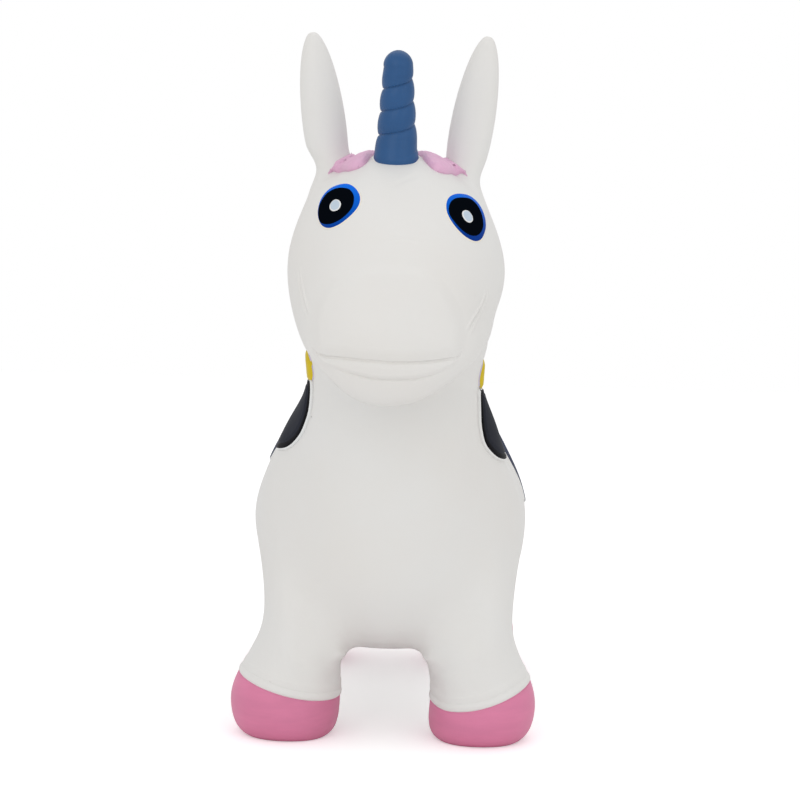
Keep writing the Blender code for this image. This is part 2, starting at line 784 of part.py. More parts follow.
def make_saddle():
    front = torso_point(SADDLE_PLACE_SHARE, 0).y
    crest, top = BACK_Z + HEAD_HEIGHT / 4, BACK_Z + HEAD_HEIGHT / 2
    foot = BACK_Z + POMMEL_RISE
    slope = math.tan(POMMEL_LEAN)
    lean = (top - foot) * slope
    pommel_front = front + POMMEL_SET_BACK
    pommel_back = pommel_front + POMMEL_LENGTH

    def behind_pommel(start, length, drop, shares, grow):
        """Side view of a saddle layer: its lower edge in shares, and its front under the pommel."""
        low = [(start + along * length, BACK_Z - down * drop, radius * drop)
               for along, down, radius in shares]
        back = pommel_back + CLEARANCE - grow
        under = foot - CLEARANCE + grow
        if start > back:
            fore = [(start, under + (start - back) / slope, 0)]
        else:
            fore = [(back, under, 0), (max(start, pommel_front), under, 0)]
        over = back + (crest - foot) * slope
        return rounded(low + [(start + length, crest, 0), (over, crest, 0)] + fore)

    def blanket_prism(name, grow):
        outline = behind_pommel(front + BLANKET_SET_BACK - grow, BLANKET_LENGTH + 2 * grow,
                                BLANKET_DROP + grow, BLANKET_SHARES, grow)
        return prism(name, outline, BODY_WIDTH, SIDE_VIEW)

    relief("saddle_blanket", BLANKET_RELIEF, "navy", [blanket_prism("blanket_edge", 0)])
    room = offset_form("blanket_room", -WALL, WALL + BLANKET_RELIEF + 2 * CLEARANCE, CUTTERS)
    cut(room, blanket_prism("blanket_room_edge", CLEARANCE), "INTERSECT")

    pommel = [(pommel_front, foot, POMMEL_TOE_SHARE * POMMEL_LENGTH), (pommel_back, foot, 0),
              (pommel_back + lean, top, 0), (pommel_front + lean, top, 0)]
    relief("saddle_pommel", POMMEL_RELIEF, "yellow",
           [prism("pommel_edge", rounded(pommel), BODY_WIDTH, SIDE_VIEW)])
    seat = behind_pommel(front, SADDLE_LENGTH, FLAP_DROP, FLAP_SHARES, 0)
    relief("saddle_seat", SEAT_RELIEF, "black",
           [prism("seat_edge", seat, BODY_WIDTH, SIDE_VIEW)], [room])


def make_mane():
    low, turn, front = (head_point(along, up) for along, up in MANE_SHARES)
    back, top = torso_point(0.5, 0).y, CHIN_Z + 2 * HEAD_HEIGHT
    side = [(low.y, low.z - OVERRUN), (back, low.z - OVERRUN), (back, top), (front.y, top),
            (front.y, front.z), (turn.y, turn.z)]
    lock = (HEAD_HEIGHT + MANE_WIDTH + CHIN_Z - low.z) / MANE_LOCKS
    edge = []
    for n in range(MANE_LOCKS * 2 * CORNER_STEPS + 1):
        place = n / (2 * CORNER_STEPS)
        across = 2 * (place % 1) - 1
        taper = 1 - MANE_TAPER_SHARE * (1 - place / MANE_LOCKS) ** 2
        edge.append((MANE_WIDTH / 2 * taper * (1 - LOCK_DEPTH_SHARE * across * across),
                     low.z + lock * place))
    outline = edge + [(-x, z) for x, z in reversed(edge)]
    locks = prism("mane_locks", outline, SPAN, REAR_VIEW)
    relief("mane", MANE_RELIEF, "pale_pink",
           [prism("mane_side", side, MANE_WIDTH, SIDE_VIEW), locks])


def make_forelock(name, side, horn_room):
    half = HEAD_WIDTH / 2
    corners = [(side * out * half, CHIN_Z + up * HEAD_HEIGHT, radius * half)
               for out, up, radius in FORELOCK_SHARES]
    back = head_point(FORELOCK_BACK_SHARE, 0).y
    depth = HEAD_LENGTH
    place = Matrix.Translation((0, back - depth / 2, 0)) @ REAR_VIEW
    edge = prism(name + "_edge", rounded(corners), depth / 2, place)
    relief(name, FORELOCK_RELIEF, "pale_pink", [edge], [horn_room])


def make_tail():
    root = BELLY_Z + TAIL_ROOT_SHARE * BODY_HEIGHT
    half = [(out * TAIL_WIDTH / 2, root - down * TAIL_LENGTH, radius * TAIL_WIDTH / 2)
            for out, down, radius in TAIL_SHARES]
    outline = rounded(half + [(-x, z, radius) for x, z, radius in reversed(half[:-1])])
    place = Matrix.Translation((0, BODY_LENGTH, 0)) @ REAR_VIEW
    edge = prism("tail_edge", outline, BODY_LENGTH, place)
    relief("tail", TAIL_RELIEF, "pale_pink", [edge])


# Air valve under the belly


def turned(name, profile, frame):
    """Profile of (radius, height) points turned about the local Z of a frame."""
    bm = bmesh.new()
    verts = [bm.verts.new((radius, 0, height)) for radius, height in profile]
    closed = profile[0][0] > 0
    ends = zip(verts, verts[1:] + verts[:1]) if closed else zip(verts, verts[1:])
    for first, last in ends:
        bm.edges.new((first, last))
    obj = add(name, mesh_from(bm, name), PARTS)
    obj.matrix_world = frame
    spin = obj.modifiers.new("turn", "SCREW")
    spin.steps = spin.render_steps = ROUND_SIDES
    spin.use_merge_vertices = True
    spin.merge_threshold = CLEARANCE / 10
    return obj


def make_valve(torso):
    """Flanged socket through the belly, and the plug that pulls down out of it."""
    place, _ = on_skin((0, torso_point(VALVE_PLACE_SHARE, 0).y, -SPAN), (0, 0, 1))
    frame = Matrix.Translation(place - Vector((0, 0, 2 * CLEARANCE)))
    bore, tube, flange = VALVE_BORE / 2, VALVE_TUBE / 2, VALVE_FLANGE / 2
    socket = [(bore, VALVE_DEPTH), (tube, VALVE_DEPTH), (tube, 0), (flange, 0),
              (flange, -FLANGE_THICKNESS), (bore, -FLANGE_THICKNESS)]
    paint(turned("valve_socket", socket, frame), "white")
    shank, head = bore - CLEARANCE, PLUG_HEAD / 2
    seat = -FLANGE_THICKNESS - CLEARANCE
    plug = [(0, seat + PLUG_SHANK), (shank, seat + PLUG_SHANK), (shank, seat), (head, seat),
            (head, seat - PLUG_HEAD_THICKNESS), (0, seat - PLUG_HEAD_THICKNESS)]
    paint(turned("valve_plug", plug, frame), "white")
    hole = round_cutter("valve_hole", tube + CLEARANCE, 2 * VALVE_DEPTH,
                        frame @ Matrix.Translation((0, 0, -VALVE_DEPTH)))
    cut(torso, hole)


def main():
    torso, head = make_skin()
    head_room = offset_form("head_room", CLEARANCE, 0, CUTTERS)
    bore, horn_room = make_horn(head_room)
    cut(head, bore)
    for name, side in (("left_eye", 1), ("right_eye", -1)):
        make_eye(name, side)
    make_saddle()
    make_mane()
    for name, side in (("forelock_left", 1), ("forelock_right", -1)):
        make_forelock(name, side, horn_room)
    make_tail()
    make_valve(torso)


main()
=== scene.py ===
import functools
import json
import math

import bmesh
import bpy
import numpy as np
from bpy.props import FloatProperty, FloatVectorProperty, IntProperty, PointerProperty
from mathutils import Matrix, Vector
from mathutils.bvhtree import BVHTree

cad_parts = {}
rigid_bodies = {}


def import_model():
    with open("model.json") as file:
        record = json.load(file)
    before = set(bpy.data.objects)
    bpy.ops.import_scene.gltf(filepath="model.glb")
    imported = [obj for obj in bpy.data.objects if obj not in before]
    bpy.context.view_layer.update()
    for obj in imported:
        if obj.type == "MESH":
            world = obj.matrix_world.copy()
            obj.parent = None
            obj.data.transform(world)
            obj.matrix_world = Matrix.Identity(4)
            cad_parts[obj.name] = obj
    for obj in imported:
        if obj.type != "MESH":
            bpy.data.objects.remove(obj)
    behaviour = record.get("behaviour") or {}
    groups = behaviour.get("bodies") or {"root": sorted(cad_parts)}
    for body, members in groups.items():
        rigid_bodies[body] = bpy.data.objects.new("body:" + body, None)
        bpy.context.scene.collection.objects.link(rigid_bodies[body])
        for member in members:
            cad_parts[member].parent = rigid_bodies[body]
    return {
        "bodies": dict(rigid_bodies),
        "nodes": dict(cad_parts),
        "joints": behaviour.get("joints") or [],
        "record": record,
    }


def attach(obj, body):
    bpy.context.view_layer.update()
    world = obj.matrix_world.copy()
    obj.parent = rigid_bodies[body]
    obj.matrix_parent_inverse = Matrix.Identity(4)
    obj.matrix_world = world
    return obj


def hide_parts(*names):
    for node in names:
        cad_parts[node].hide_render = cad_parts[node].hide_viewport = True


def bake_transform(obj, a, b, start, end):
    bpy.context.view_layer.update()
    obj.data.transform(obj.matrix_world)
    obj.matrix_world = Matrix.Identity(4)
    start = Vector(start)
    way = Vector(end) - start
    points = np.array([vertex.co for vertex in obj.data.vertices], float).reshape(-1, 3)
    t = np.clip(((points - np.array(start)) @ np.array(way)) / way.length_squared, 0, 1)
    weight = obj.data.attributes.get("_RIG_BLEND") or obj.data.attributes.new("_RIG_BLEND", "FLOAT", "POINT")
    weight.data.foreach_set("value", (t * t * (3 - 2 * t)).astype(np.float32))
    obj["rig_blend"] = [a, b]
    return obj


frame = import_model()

bl_info = {
    "name": "Bouncy Ride-On Unicorn",
    "version": (1, 0, 0),
    "blender": (4, 5, 0),
    "location": "3D View > Sidebar > Ride-On Toy",
    "description": "Builds an inflatable vinyl ride-on unicorn piece by piece round its packed part",
    "category": "Add Mesh",
}

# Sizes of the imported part, in metres, and its angles
BODY_LENGTH, BODY_HEIGHT, BODY_WIDTH, BELLY_Z = 0.450, 0.228, 0.252, 0.064
HEAD_LENGTH, HEAD_HEIGHT, HEAD_WIDTH, HEAD_OVERHANG = 0.212, 0.205, 0.184, 0.104
FACE_CANT, CHIN_RISE, WALL = math.radians(4.5), 0.005, 0.0028
FRONT_SPREAD, REAR_SPREAD, HOOF_WIDTH, HOOF_LENGTH = 0.0845, 0.0815, 0.097, 0.096
HOOF_HEIGHT, LEG_SPLAY, LEG_TOP = 0.044, math.radians(12.5), 0.0700
EAR_LENGTH, EAR_WIDTH, EAR_THICKNESS, EAR_SPREAD = 0.130, 0.038, 0.030, 0.0545
EAR_LEAN_OUT, EAR_LEAN_BACK = math.radians(9.0), math.radians(4.0)

NOSE_Y = -(BODY_LENGTH + HEAD_OVERHANG) / 2
CHEST_Y = NOSE_Y + HEAD_OVERHANG
BACK_Z = BELLY_Z + BODY_HEIGHT
CHIN_Z = BACK_Z + CHIN_RISE
FAR = 2.0

# Rings of torso and head: top along and up, bottom along and up, half width, pinch of the top, in shares
TORSO_SHARES = (
    (0.972, 0.76, 0.962, 0.23, 0.50, 0.00),
    (0.915, 0.91, 0.895, 0.09, 0.78, 0.00),
    (0.805, 0.99, 0.795, 0.02, 0.93, 0.02),
    (0.690, 1.00, 0.680, 0.00, 0.985, 0.05),
    (0.560, 0.985, 0.550, 0.00, 1.00, 0.12),
    (0.450, 1.01, 0.405, 0.00, 1.00, 0.24),
    (0.360, 1.08, 0.262, 0.00, 0.965, 0.36),
    (0.310, 1.20, 0.150, 0.00, 0.925, 0.46),
    (0.285, 1.32, 0.055, 0.08, 0.82, 0.48),
    (0.265, 1.43, 0.005, 0.40, 0.63, 0.26),
)
HEAD_SHARES = (
    (0.985, 0.54, 0.505, -0.28, 0.79, 0.08),
    (0.990, 0.70, 0.515, -0.06, 0.81, 0.00),
    (0.955, 0.86, 0.500, 0.08, 0.87, 0.14),
    (0.840, 0.98, 0.455, 0.12, 0.96, 0.20),
    (0.660, 1.01, 0.390, 0.10, 1.00, 0.15),
    (0.450, 0.92, 0.310, 0.06, 0.93, 0.06),
    (0.280, 0.755, 0.215, 0.02, 0.80, 0.02),
    (0.140, 0.620, 0.125, 0.00, 0.72, 0.00),
    (0.030, 0.46, 0.050, 0.08, 0.54, 0.00),
)
CANT_SHARES = (0.80, 0.40)
CAGE_SIDES = 16
REAR_LEG_RING, FRONT_LEG_RING, EAR_RING = 1, 6, 12
LEG_CORNER, EAR_CORNER = 5, 3
RUMP_BULGE_SHARE, NOSE_BULGE_SHARE, CAP_FLATTEN_SHARE = 0.036, 0.078, 0.45
# Rings of a leg from its root down: height, distance out, width, length and lean, in shares
LEG_SHARES = (
    (1.45, 0.825, 0.720, 0.870, 1.0),
    (1.05, 0.885, 0.860, 0.890, 1.0),
    (0.84, 0.940, 0.890, 0.930, 1.0),
    (0.50, 1.000, 1.000, 1.000, 0.9),
    (0.17, 1.000, 0.985, 0.970, 0.4),
    (-0.05, 1.000, 0.840, 0.830, 0.0),
)
REAR_LEG_SHARE, FRONT_LEG_SHARE = 0.775, 0.130
# Rings of an ear: place along it, width and thickness, in shares
EAR_SHARES = (
    (0.05, 0.76, 1.05),
    (0.24, 0.97, 0.98),
    (0.50, 0.98, 0.88),
    (0.74, 0.80, 0.72),
    (0.90, 0.54, 0.52),
    (0.99, 0.22, 0.26),
)
EAR_PLACE_SHARE, EAR_BASE_SHARE = 0.800, 0.86
SKIN_LEVELS, FINE_LEVELS = 4, 5
SETTLE_LEVELS = 2
# Share of an edge within which a cut takes its end, and margin round an outline
SNAP, RELIEF_MARGIN = 0.04, 0.004
SOLE_RISE = 0.015
# Where an outline's move to one side of the toy takes hold: across, and along the body
SHIFT_WIDTH, SHIFT_FRONT = 0.05, (-0.02, 0.09)
# Step that finds a depth's slope, and the distance given to points that a rule leaves out
NUDGE, NOWHERE = 0.0002, 1.0
WELD, TINY, MILLIMETRE, SHARP_ANGLE = 2e-6, 1e-18, 0.001, math.radians(38)
LINE_STEPS = 6
# How far from a plane points still belong to what is drawn on it, and least share of a slanted depth
PLANE_REACH, LEAST_SLANT_SHARE = 0.03, 0.09


# Meshes and plain numbers


def add(name, mesh):
    obj = bpy.data.objects.new(name, mesh)
    bpy.context.scene.collection.objects.link(obj)
    return obj


def baked(obj):
    """The object's mesh with its modifiers applied; the object itself is removed."""
    bpy.context.view_layer.update()
    mesh = bpy.data.meshes.new_from_object(obj.evaluated_get(bpy.context.evaluated_depsgraph_get()))
    mesh.name = obj.name
    bpy.data.objects.remove(obj)
    return mesh


def vectors(items, name):
    values = np.empty(len(items) * 3, np.float32)
    items.foreach_get(name, values)
    return values.reshape(-1, 3).astype(float)


def whole_numbers(items, name):
    values = np.empty(len(items), np.int32)
    items.foreach_get(name, values)
    return values


def places(mesh):
    return vectors(mesh.vertices, "co")


def normals(mesh):
    return vectors(mesh.vertex_normals, "vector")


def move_to(mesh, points):
    mesh.vertices.foreach_set("co", points.astype(np.float32).ravel())
    mesh.update()


def opened(mesh):
    bm = bmesh.new()
    bm.from_mesh(mesh)
    bm.verts.ensure_lookup_table()
    bm.edges.ensure_lookup_table()
    return bm


def put_back(bm, mesh):
    bm.to_mesh(mesh)
    bm.free()
    return mesh


def eased(values, low, high):
    share = np.clip((values - low) / (high - low), 0, 1)
    return share * share * (3 - 2 * share)


# Cage of the whole skin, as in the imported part


def torso_point(along, up):
    return Vector((0, CHEST_Y + along * BODY_LENGTH, BELLY_Z + up * BODY_HEIGHT))


def head_point(along, up):
    return Vector((0, NOSE_Y + along * HEAD_LENGTH, CHIN_Z + up * HEAD_HEIGHT))


def swell(count):
    """How far out a cage ring of so many corners stands, so that its smooth ring has radius 1."""
    return 6 / (4 + 2 * math.cos(2 * math.pi / count))


def section(top, bottom, half_width, pinch):
    """Corners of one cage ring, from the top round by +X."""
    middle, rise = (top + bottom) / 2, (top - bottom) / 2
    corners = []
    for k in range(CAGE_SIDES):
        angle = 2 * math.pi * k / CAGE_SIDES
        side, height = math.sin(angle), math.cos(angle)
        reach = half_width * side * (1 - pinch * max(height, 0))
        corners.append(middle + (rise * height + Vector((reach, 0, 0))) * swell(CAGE_SIDES))
    return corners


def close_end(bm, ring, forward):
    """Four by four faces that close a ring of 16 corners, bulged along forward."""
    edge = [(i, 0) for i in range(4)] + [(4, j) for j in range(4)]
    edge += [(4 - i, 4) for i in range(4)] + [(0, 4 - j) for j in range(4)]
    grid = {place: ring[(CAGE_SIDES - 2 + n) % CAGE_SIDES] for n, place in enumerate(edge)}
    for i in (1, 2, 3):
        for j in (1, 2, 3):
            across = grid[(0, j)].co.lerp(grid[(4, j)].co, i / 4)
            down = grid[(i, 0)].co.lerp(grid[(i, 4)].co, j / 4)
            off_centre = ((i - 2) ** 2 + (j - 2) ** 2) / 2
            bulge = forward * (1 - CAP_FLATTEN_SHARE * off_centre)
            grid[(i, j)] = bm.verts.new((across + down) / 2 + bulge)
    for i in range(4):
        for j in range(4):
            bm.faces.new((grid[(i, j)], grid[(i + 1, j)], grid[(i + 1, j + 1)], grid[(i, j + 1)]))


LOOP = ((1, 1), (0, 1), (-1, 1), (-1, 0), (-1, -1), (0, -1), (1, -1), (1, 0))


def limb_opening(rings, ring, outer, side):
    """The eight corners round two by two faces left open for a limb, and the quads left out."""
    step = 1 if outer < 4 else -1
    around = [(side * (outer - n * step)) % CAGE_SIDES for n in range(3)]
    rows = {1: rings[ring], 0: rings[ring + 1], -1: rings[ring + 2]}
    corners = [rows[back][around[1 - out]] for out, back in LOOP]
    left_out = {(ring + row, min(a, b)) for row in (0, 1) for a, b in zip(around, around[1:])}
    return corners, left_out


def limb(bm, opening, frames):
    """Faces from an opening along rings (centre, half width, half length, across)."""
    last, along = opening, Vector((0, 1, 0))
    for centre, half_width, half_length, across in frames:
        ring = []
        for out, back in LOOP:
            size = swell(len(LOOP)) / math.hypot(out, back)
            corner = centre + across * (out * half_width * size) + along * (back * half_length * size)
            ring.append(bm.verts.new(corner))
        for n in range(len(LOOP)):
            m = (n + 1) % len(LOOP)
            bm.faces.new((last[n], last[m], ring[m], ring[n]))
        last = ring
    tip = bm.verts.new(sum((v.co for v in last), Vector()) / len(last))
    for n in range(0, len(last), 2):
        bm.faces.new((last[n], last[(n + 1) % len(last)], tip, last[n - 1]))


def leg_y(share):
    return CHEST_Y + share * BODY_LENGTH


def leg_frames(share, spread, side):
    frames = []
    for up, out, width, length, lean in LEG_SHARES:
        centre = Vector((side * out * spread, leg_y(share), up * BELLY_Z))
        across = Vector((side * math.cos(LEG_SPLAY * lean), 0, math.sin(LEG_SPLAY * lean)))
        frames.append((centre, width * HOOF_WIDTH / 2, length * HOOF_LENGTH / 2, across))
    return frames


def ear_base(side):
    place = head_point(EAR_PLACE_SHARE, EAR_BASE_SHARE)
    return Vector((side * EAR_SPREAD, place.y, place.z))


def ear_axis(side):
    return Vector((side * math.sin(EAR_LEAN_OUT), math.sin(EAR_LEAN_BACK),
                   math.cos(EAR_LEAN_OUT))).normalized()


def ear_frames(side):
    axis = ear_axis(side)
    across = Vector((side * axis.z, 0, -side * axis.x)).normalized()
    return [(ear_base(side) + axis * (along * EAR_LENGTH), width * EAR_WIDTH / 2,
             thick * EAR_THICKNESS / 2, across) for along, width, thick in EAR_SHARES]


def canted(point):
    """The face leans a little to one side: a point turned about the head's middle, most in front."""
    back, front = head_point(CANT_SHARES[0], 0).y, head_point(CANT_SHARES[1], 0).y
    share = min(max((back - point.y) / (back - front), 0), 1)
    if point.z < CHIN_Z - CHIN_RISE - WALL:
        share = 0
    middle = head_point(CANT_SHARES[1], 0.5)
    turn = Matrix.Rotation(FACE_CANT * share * share * (3 - 2 * share), 3, "Y")
    return middle + turn @ (point - middle)


def skin_cage():
    bm = bmesh.new()
    rings, left_out = [], set()
    for shares, point, half in ((TORSO_SHARES, torso_point, BODY_WIDTH / 2),
                                (HEAD_SHARES, head_point, HEAD_WIDTH / 2)):
        for ty, tz, by, bz, width, pinch in shares:
            corners = section(point(ty, tz), point(by, bz), half * width, pinch)
            rings.append([bm.verts.new(canted(corner)) for corner in corners])
    limbs = [(REAR_LEG_RING, LEG_CORNER, side, leg_frames(REAR_LEG_SHARE, REAR_SPREAD, side))
             for side in (1, -1)]
    limbs += [(FRONT_LEG_RING, LEG_CORNER, side, leg_frames(FRONT_LEG_SHARE, FRONT_SPREAD, side))
              for side in (1, -1)]
    limbs += [(EAR_RING, EAR_CORNER, side, ear_frames(side)) for side in (1, -1)]
    for ring, corner, side, frames in limbs:
        opening, missing = limb_opening(rings, ring, corner, side)
        left_out |= missing
        limb(bm, opening, frames)
    for j in range(len(rings) - 1):
        for k in range(CAGE_SIDES):
            m = (k + 1) % CAGE_SIDES
            if (j, k) not in left_out:
                bm.faces.new((rings[j][k], rings[j][m], rings[j + 1][m], rings[j + 1][k]))
    close_end(bm, rings[0], Vector((0, RUMP_BULGE_SHARE * BODY_LENGTH, 0)))
    close_end(bm, rings[-1], Vector((0, -NOSE_BULGE_SHARE * HEAD_LENGTH, 0)))
    bmesh.ops.delete(bm, geom=[v for v in bm.verts if not v.link_faces], context="VERTS")
    bmesh.ops.recalc_face_normals(bm, faces=bm.faces)
    return put_back(bm, bpy.data.meshes.new("skin_cage"))


# The uneven outline of the blown-up toy

LEGS = {
    "front_left": (FRONT_LEG_SHARE, FRONT_SPREAD, 1),
    "front_right": (FRONT_LEG_SHARE, FRONT_SPREAD, -1),
    "rear_left": (REAR_LEG_SHARE, REAR_SPREAD, 1),
    "rear_right": (REAR_LEG_SHARE, REAR_SPREAD, -1),
}
# Soft pushes sideways: side of the toy, middle height, reach up and down, push
PUSHES = ((-1, 0.307, 0.045, 0.0075), (-1, 0.400, 0.060, 0.0030), (-1, 0.085, 0.055, 0.0022),
          (1, 0.343, 0.032, 0.0085), (1, 0.415, 0.075, 0.0025), (1, 0.272, 0.030, 0.0030),
          (1, 0.125, 0.055, 0.0045), (-1, 0.487, 0.018, 0.0055), (1, 0.479, 0.016, -0.0025))
PUSH_WIDTH, PUSH_FRONT = 0.06, 0.04
REAR_THINNING_SHARE, REAR_START, REAR_TOP, REAR_FADE = 0.12, 0.08, 0.15, 0.05
FLANK_THINNING, FLANK_HEIGHT, FLANK_REACH, FLANK_RANGE = 0.0045, 0.225, 0.042, (0.02, 0.09)
SOLE_ROUND_SHARE, SOLE_ROUND_HEIGHT = 0.07, 0.036
# Belly between the front legs, and the corners where it meets them
BELLY_LIFT, BELLY_LIFT_WIDTH, BELLY_TOP, BELLY_FADE = 0.0062, 0.050, 0.14, 0.03
FRONT_REACH, CORNER_REAR = 0.05, -0.02
CORNER, CORNER_REACH, CORNER_ROUNDS, CORNER_FILL = (0.047, 0.094), 0.034, 10, (0.0060, 0.0100)
# Inner faces of the front legs: how far they stand back, middle height and reach up and down
LEG_HOLLOWS = {1: (0.0042, 0.0450, 0.0500), -1: (0.0036, 0.0660, 0.0280)}
INNER_FACE, INNER_REACH, INNER_TOP = 0.036, 0.022, 0.084
# Arch between the front legs, seen from the front: half widths, roof, and round of its corners
ARCH_HALVES, ARCH_ROOF, ARCH_ROUND, ARCH_FADE = {1: 0.0385, -1: 0.0375}, 0.0765, 0.018, 0.010
ARCH_RANGE = (0.05, 0.08)


def bump(values, centre, reach):
    """Soft hill of height 1 around a centre, 0 beyond its reach."""
    return np.clip(1 - ((values - centre) / reach) ** 2, 0, 1) ** 2


def uneven_sides(points):
    """Moves sideways: soft pushes, thinner rear legs and a thinner left flank."""
    x, y, z = points.T
    front = eased(-y, -PUSH_FRONT, PUSH_FRONT)
    moved = np.zeros(points.shape)
    for side, centre, reach, push in PUSHES:
        moved[:, 0] += push * np.clip(side * x / PUSH_WIDTH, 0, 1) * bump(z, centre, reach) * front
    rear = eased(y, REAR_START, REAR_START + REAR_FADE) * eased(REAR_TOP - z, 0, REAR_FADE)
    moved[:, 0] -= REAR_THINNING_SHARE * rear * (x - np.sign(x) * REAR_SPREAD)
    flank = bump(z, FLANK_HEIGHT, FLANK_REACH) * eased(y, *FLANK_RANGE)
    moved[:, 0] -= FLANK_THINNING * flank * np.clip(x / PUSH_WIDTH, 0, 1)
    return moved


def rounder_soles(points):
    """Moves towards the middle of each hoof, most at the floor."""
    moved = np.zeros(points.shape)
    for share, spread, side in LEGS.values():
        out = points[:, :2] - np.array((side * spread, leg_y(share)))
        near = (np.abs(out) < HOOF_HEIGHT * 2).all(1) * (side * points[:, 0] > 0)
        low = SOLE_ROUND_SHARE * near * np.clip(1 - points[:, 2] / SOLE_ROUND_HEIGHT, 0, 1) ** 2
        moved[:, :2] -= low[:, None] * out
    return moved


def from_corner(points, side):
    """Distance of points from the corner between belly and front leg, seen from the front."""
    return np.hypot(points[:, 0] - side * CORNER[0], points[:, 2] - CORNER[1])


def fuller_corners(points):
    """Moves of the belly's front upwards, of its corners inwards, and of the legs' inner faces."""
    x, y, z = points.T
    moved = np.zeros(points.shape)
    moved[:, 2] = BELLY_LIFT * (bump(x, 0, BELLY_LIFT_WIDTH) * eased(BELLY_TOP - z, 0, BELLY_FADE)
                                * eased(-y, 0, FRONT_REACH))
    for side, (hollow, middle, reach) in LEG_HOLLOWS.items():
        fill = bump(from_corner(points, side), 0, CORNER_REACH) * (y < CORNER_REAR)
        inner = bump(side * x, INNER_FACE, INNER_REACH) * (y < CORNER_REAR) * (z < INNER_TOP)
        moved[:, 0] += side * (hollow * inner * bump(z, middle, reach) - CORNER_FILL[0] * fill)
        moved[:, 2] -= CORNER_FILL[1] * fill
    return moved


def soften_corners(mesh):
    """Smooths the skin round the corners between belly and front legs."""
    points = places(mesh)
    bm = opened(mesh)
    for side in (1, -1):
        soft = (from_corner(points, side) < CORNER_REACH) & (points[:, 1] < CORNER_REAR)
        loose = [bm.verts[n] for n in np.flatnonzero(soft)]
        for _ in range(CORNER_ROUNDS):
            bmesh.ops.smooth_vert(bm, verts=loose, factor=0.5, use_axis_x=True, use_axis_y=True,
                                  use_axis_z=True)
    put_back(bm, mesh)


def rounder_arch(points):
    """Moves that round the upper corners of the arch between the front legs."""
    moved = np.zeros(points.shape)
    for side, half in ARCH_HALVES.items():
        off = points[:, ::2] * (side, 1) - (half - ARCH_ROUND, ARCH_ROOF - ARCH_ROUND)
        far = np.hypot(*off.T)
        near = np.clip(1 - (off.max(1) - ARCH_ROUND) / ARCH_FADE, 0, 1) * eased(-points[:, 1], *ARCH_RANGE)
        near = near * (off > 0).all(1) * (far > ARCH_ROUND)
        pull = (ARCH_ROUND / np.maximum(far, ARCH_ROUND) - 1) * near
        moved[:, ::2] += off * pull[:, None] * (side, 1)
    return moved


def settle(mesh):
    """Fits the skin to the uneven outline of the blown-up toy."""
    points = places(mesh)
    move_to(mesh, points + uneven_sides(points) + rounder_soles(points) + fuller_corners(points))
    soften_corners(mesh)
    points = places(mesh)
    move_to(mesh, points + rounder_arch(points))
    return mesh


def subdivided(mesh, levels, to_limit):
    obj = add("smooth_skin", mesh)
    smooth = obj.modifiers.new("smooth", "SUBSURF")
    smooth.levels = smooth.render_levels = levels
    smooth.use_limit_surface = to_limit
    return baked(obj)


@functools.lru_cache(maxsize=None)
def smooth_skin(levels=SKIN_LEVELS):
    """Dense smooth surface of the whole toy, before any relief; it is only ever copied."""
    coarse = settle(subdivided(skin_cage(), SETTLE_LEVELS, False))
    mesh = subdivided(coarse, levels - SETTLE_LEVELS, True)
    mesh.shade_smooth()
    return mesh


@functools.lru_cache(maxsize=None)
def smooth_tree(levels=SKIN_LEVELS):
    mesh = smooth_skin(levels)
    corners = whole_numbers(mesh.loops, "vertex_index").reshape(-1, 4)
    return BVHTree.FromPolygons(places(mesh).tolist(), corners.tolist())


def on_skin(start, direction):
    """Point and normal where a line from outside first meets the smooth skin."""
    point, normal, _, _ = smooth_tree().ray_cast(Vector(start), Vector(direction))
    return point, normal


# Lines and outlines drawn on the skin


def rounded_line(corners, closed=False):
    """Smooth line through corner points, of any number of coordinates."""
    points = np.array(corners, float)
    count = len(points)
    if closed:
        around = points[np.arange(-1, count + 2) % count]
    else:
        around = np.vstack((2 * points[0] - points[1], points, 2 * points[-1] - points[-2]))
    line = []
    for n in range(count if closed else count - 1):
        before, start, end, after = around[n:n + 4]
        for share in np.arange(LINE_STEPS) / LINE_STEPS:
            line.append(0.5 * (2 * start + (end - before) * share
                               + (2 * before - 5 * start + 4 * end - after) * share ** 2
                               + (3 * start - before - 3 * end + after) * share ** 3))
    if not closed:
        line.append(points[-1])
    return np.array(line)


def inside_depth(points, outline):
    """Signed distance of flat points from a closed outline, above 0 inside it."""
    away = np.maximum(outline.min(0) - points, points - outline.max(0)).max(1)
    near = away < RELIEF_MARGIN * 2
    depths = -np.maximum(away, RELIEF_MARGIN * 2)
    depths[near] = exact_depth(points[near], outline)
    return depths


def exact_depth(points, outline):
    ends = np.roll(outline, -1, axis=0)
    nearest = np.full(len(points), np.inf)
    inside = np.zeros(len(points), bool)
    for (ax, ay), (bx, by) in zip(outline, ends):
        along, up = bx - ax, by - ay
        share = np.clip(((points[:, 0] - ax) * along + (points[:, 1] - ay) * up)
                        / max(along * along + up * up, TINY), 0, 1)
        gap = np.hypot(points[:, 0] - ax - share * along, points[:, 1] - ay - share * up)
        nearest = np.minimum(nearest, gap)
        if ay != by:
            crosses = (ay > points[:, 1]) != (by > points[:, 1])
            inside ^= crosses & (points[:, 0] < along * (points[:, 1] - ay) / up + ax)
    return np.where(inside, nearest, -nearest)


def off_straight(points, start, end):
    """Ways to points from the nearest place on a straight line, and that place from 0 to 1."""
    way = end - start
    share = np.clip((points - start) @ way / max(way @ way, TINY), 0, 1)
    return points - start - share[:, None] * way, share


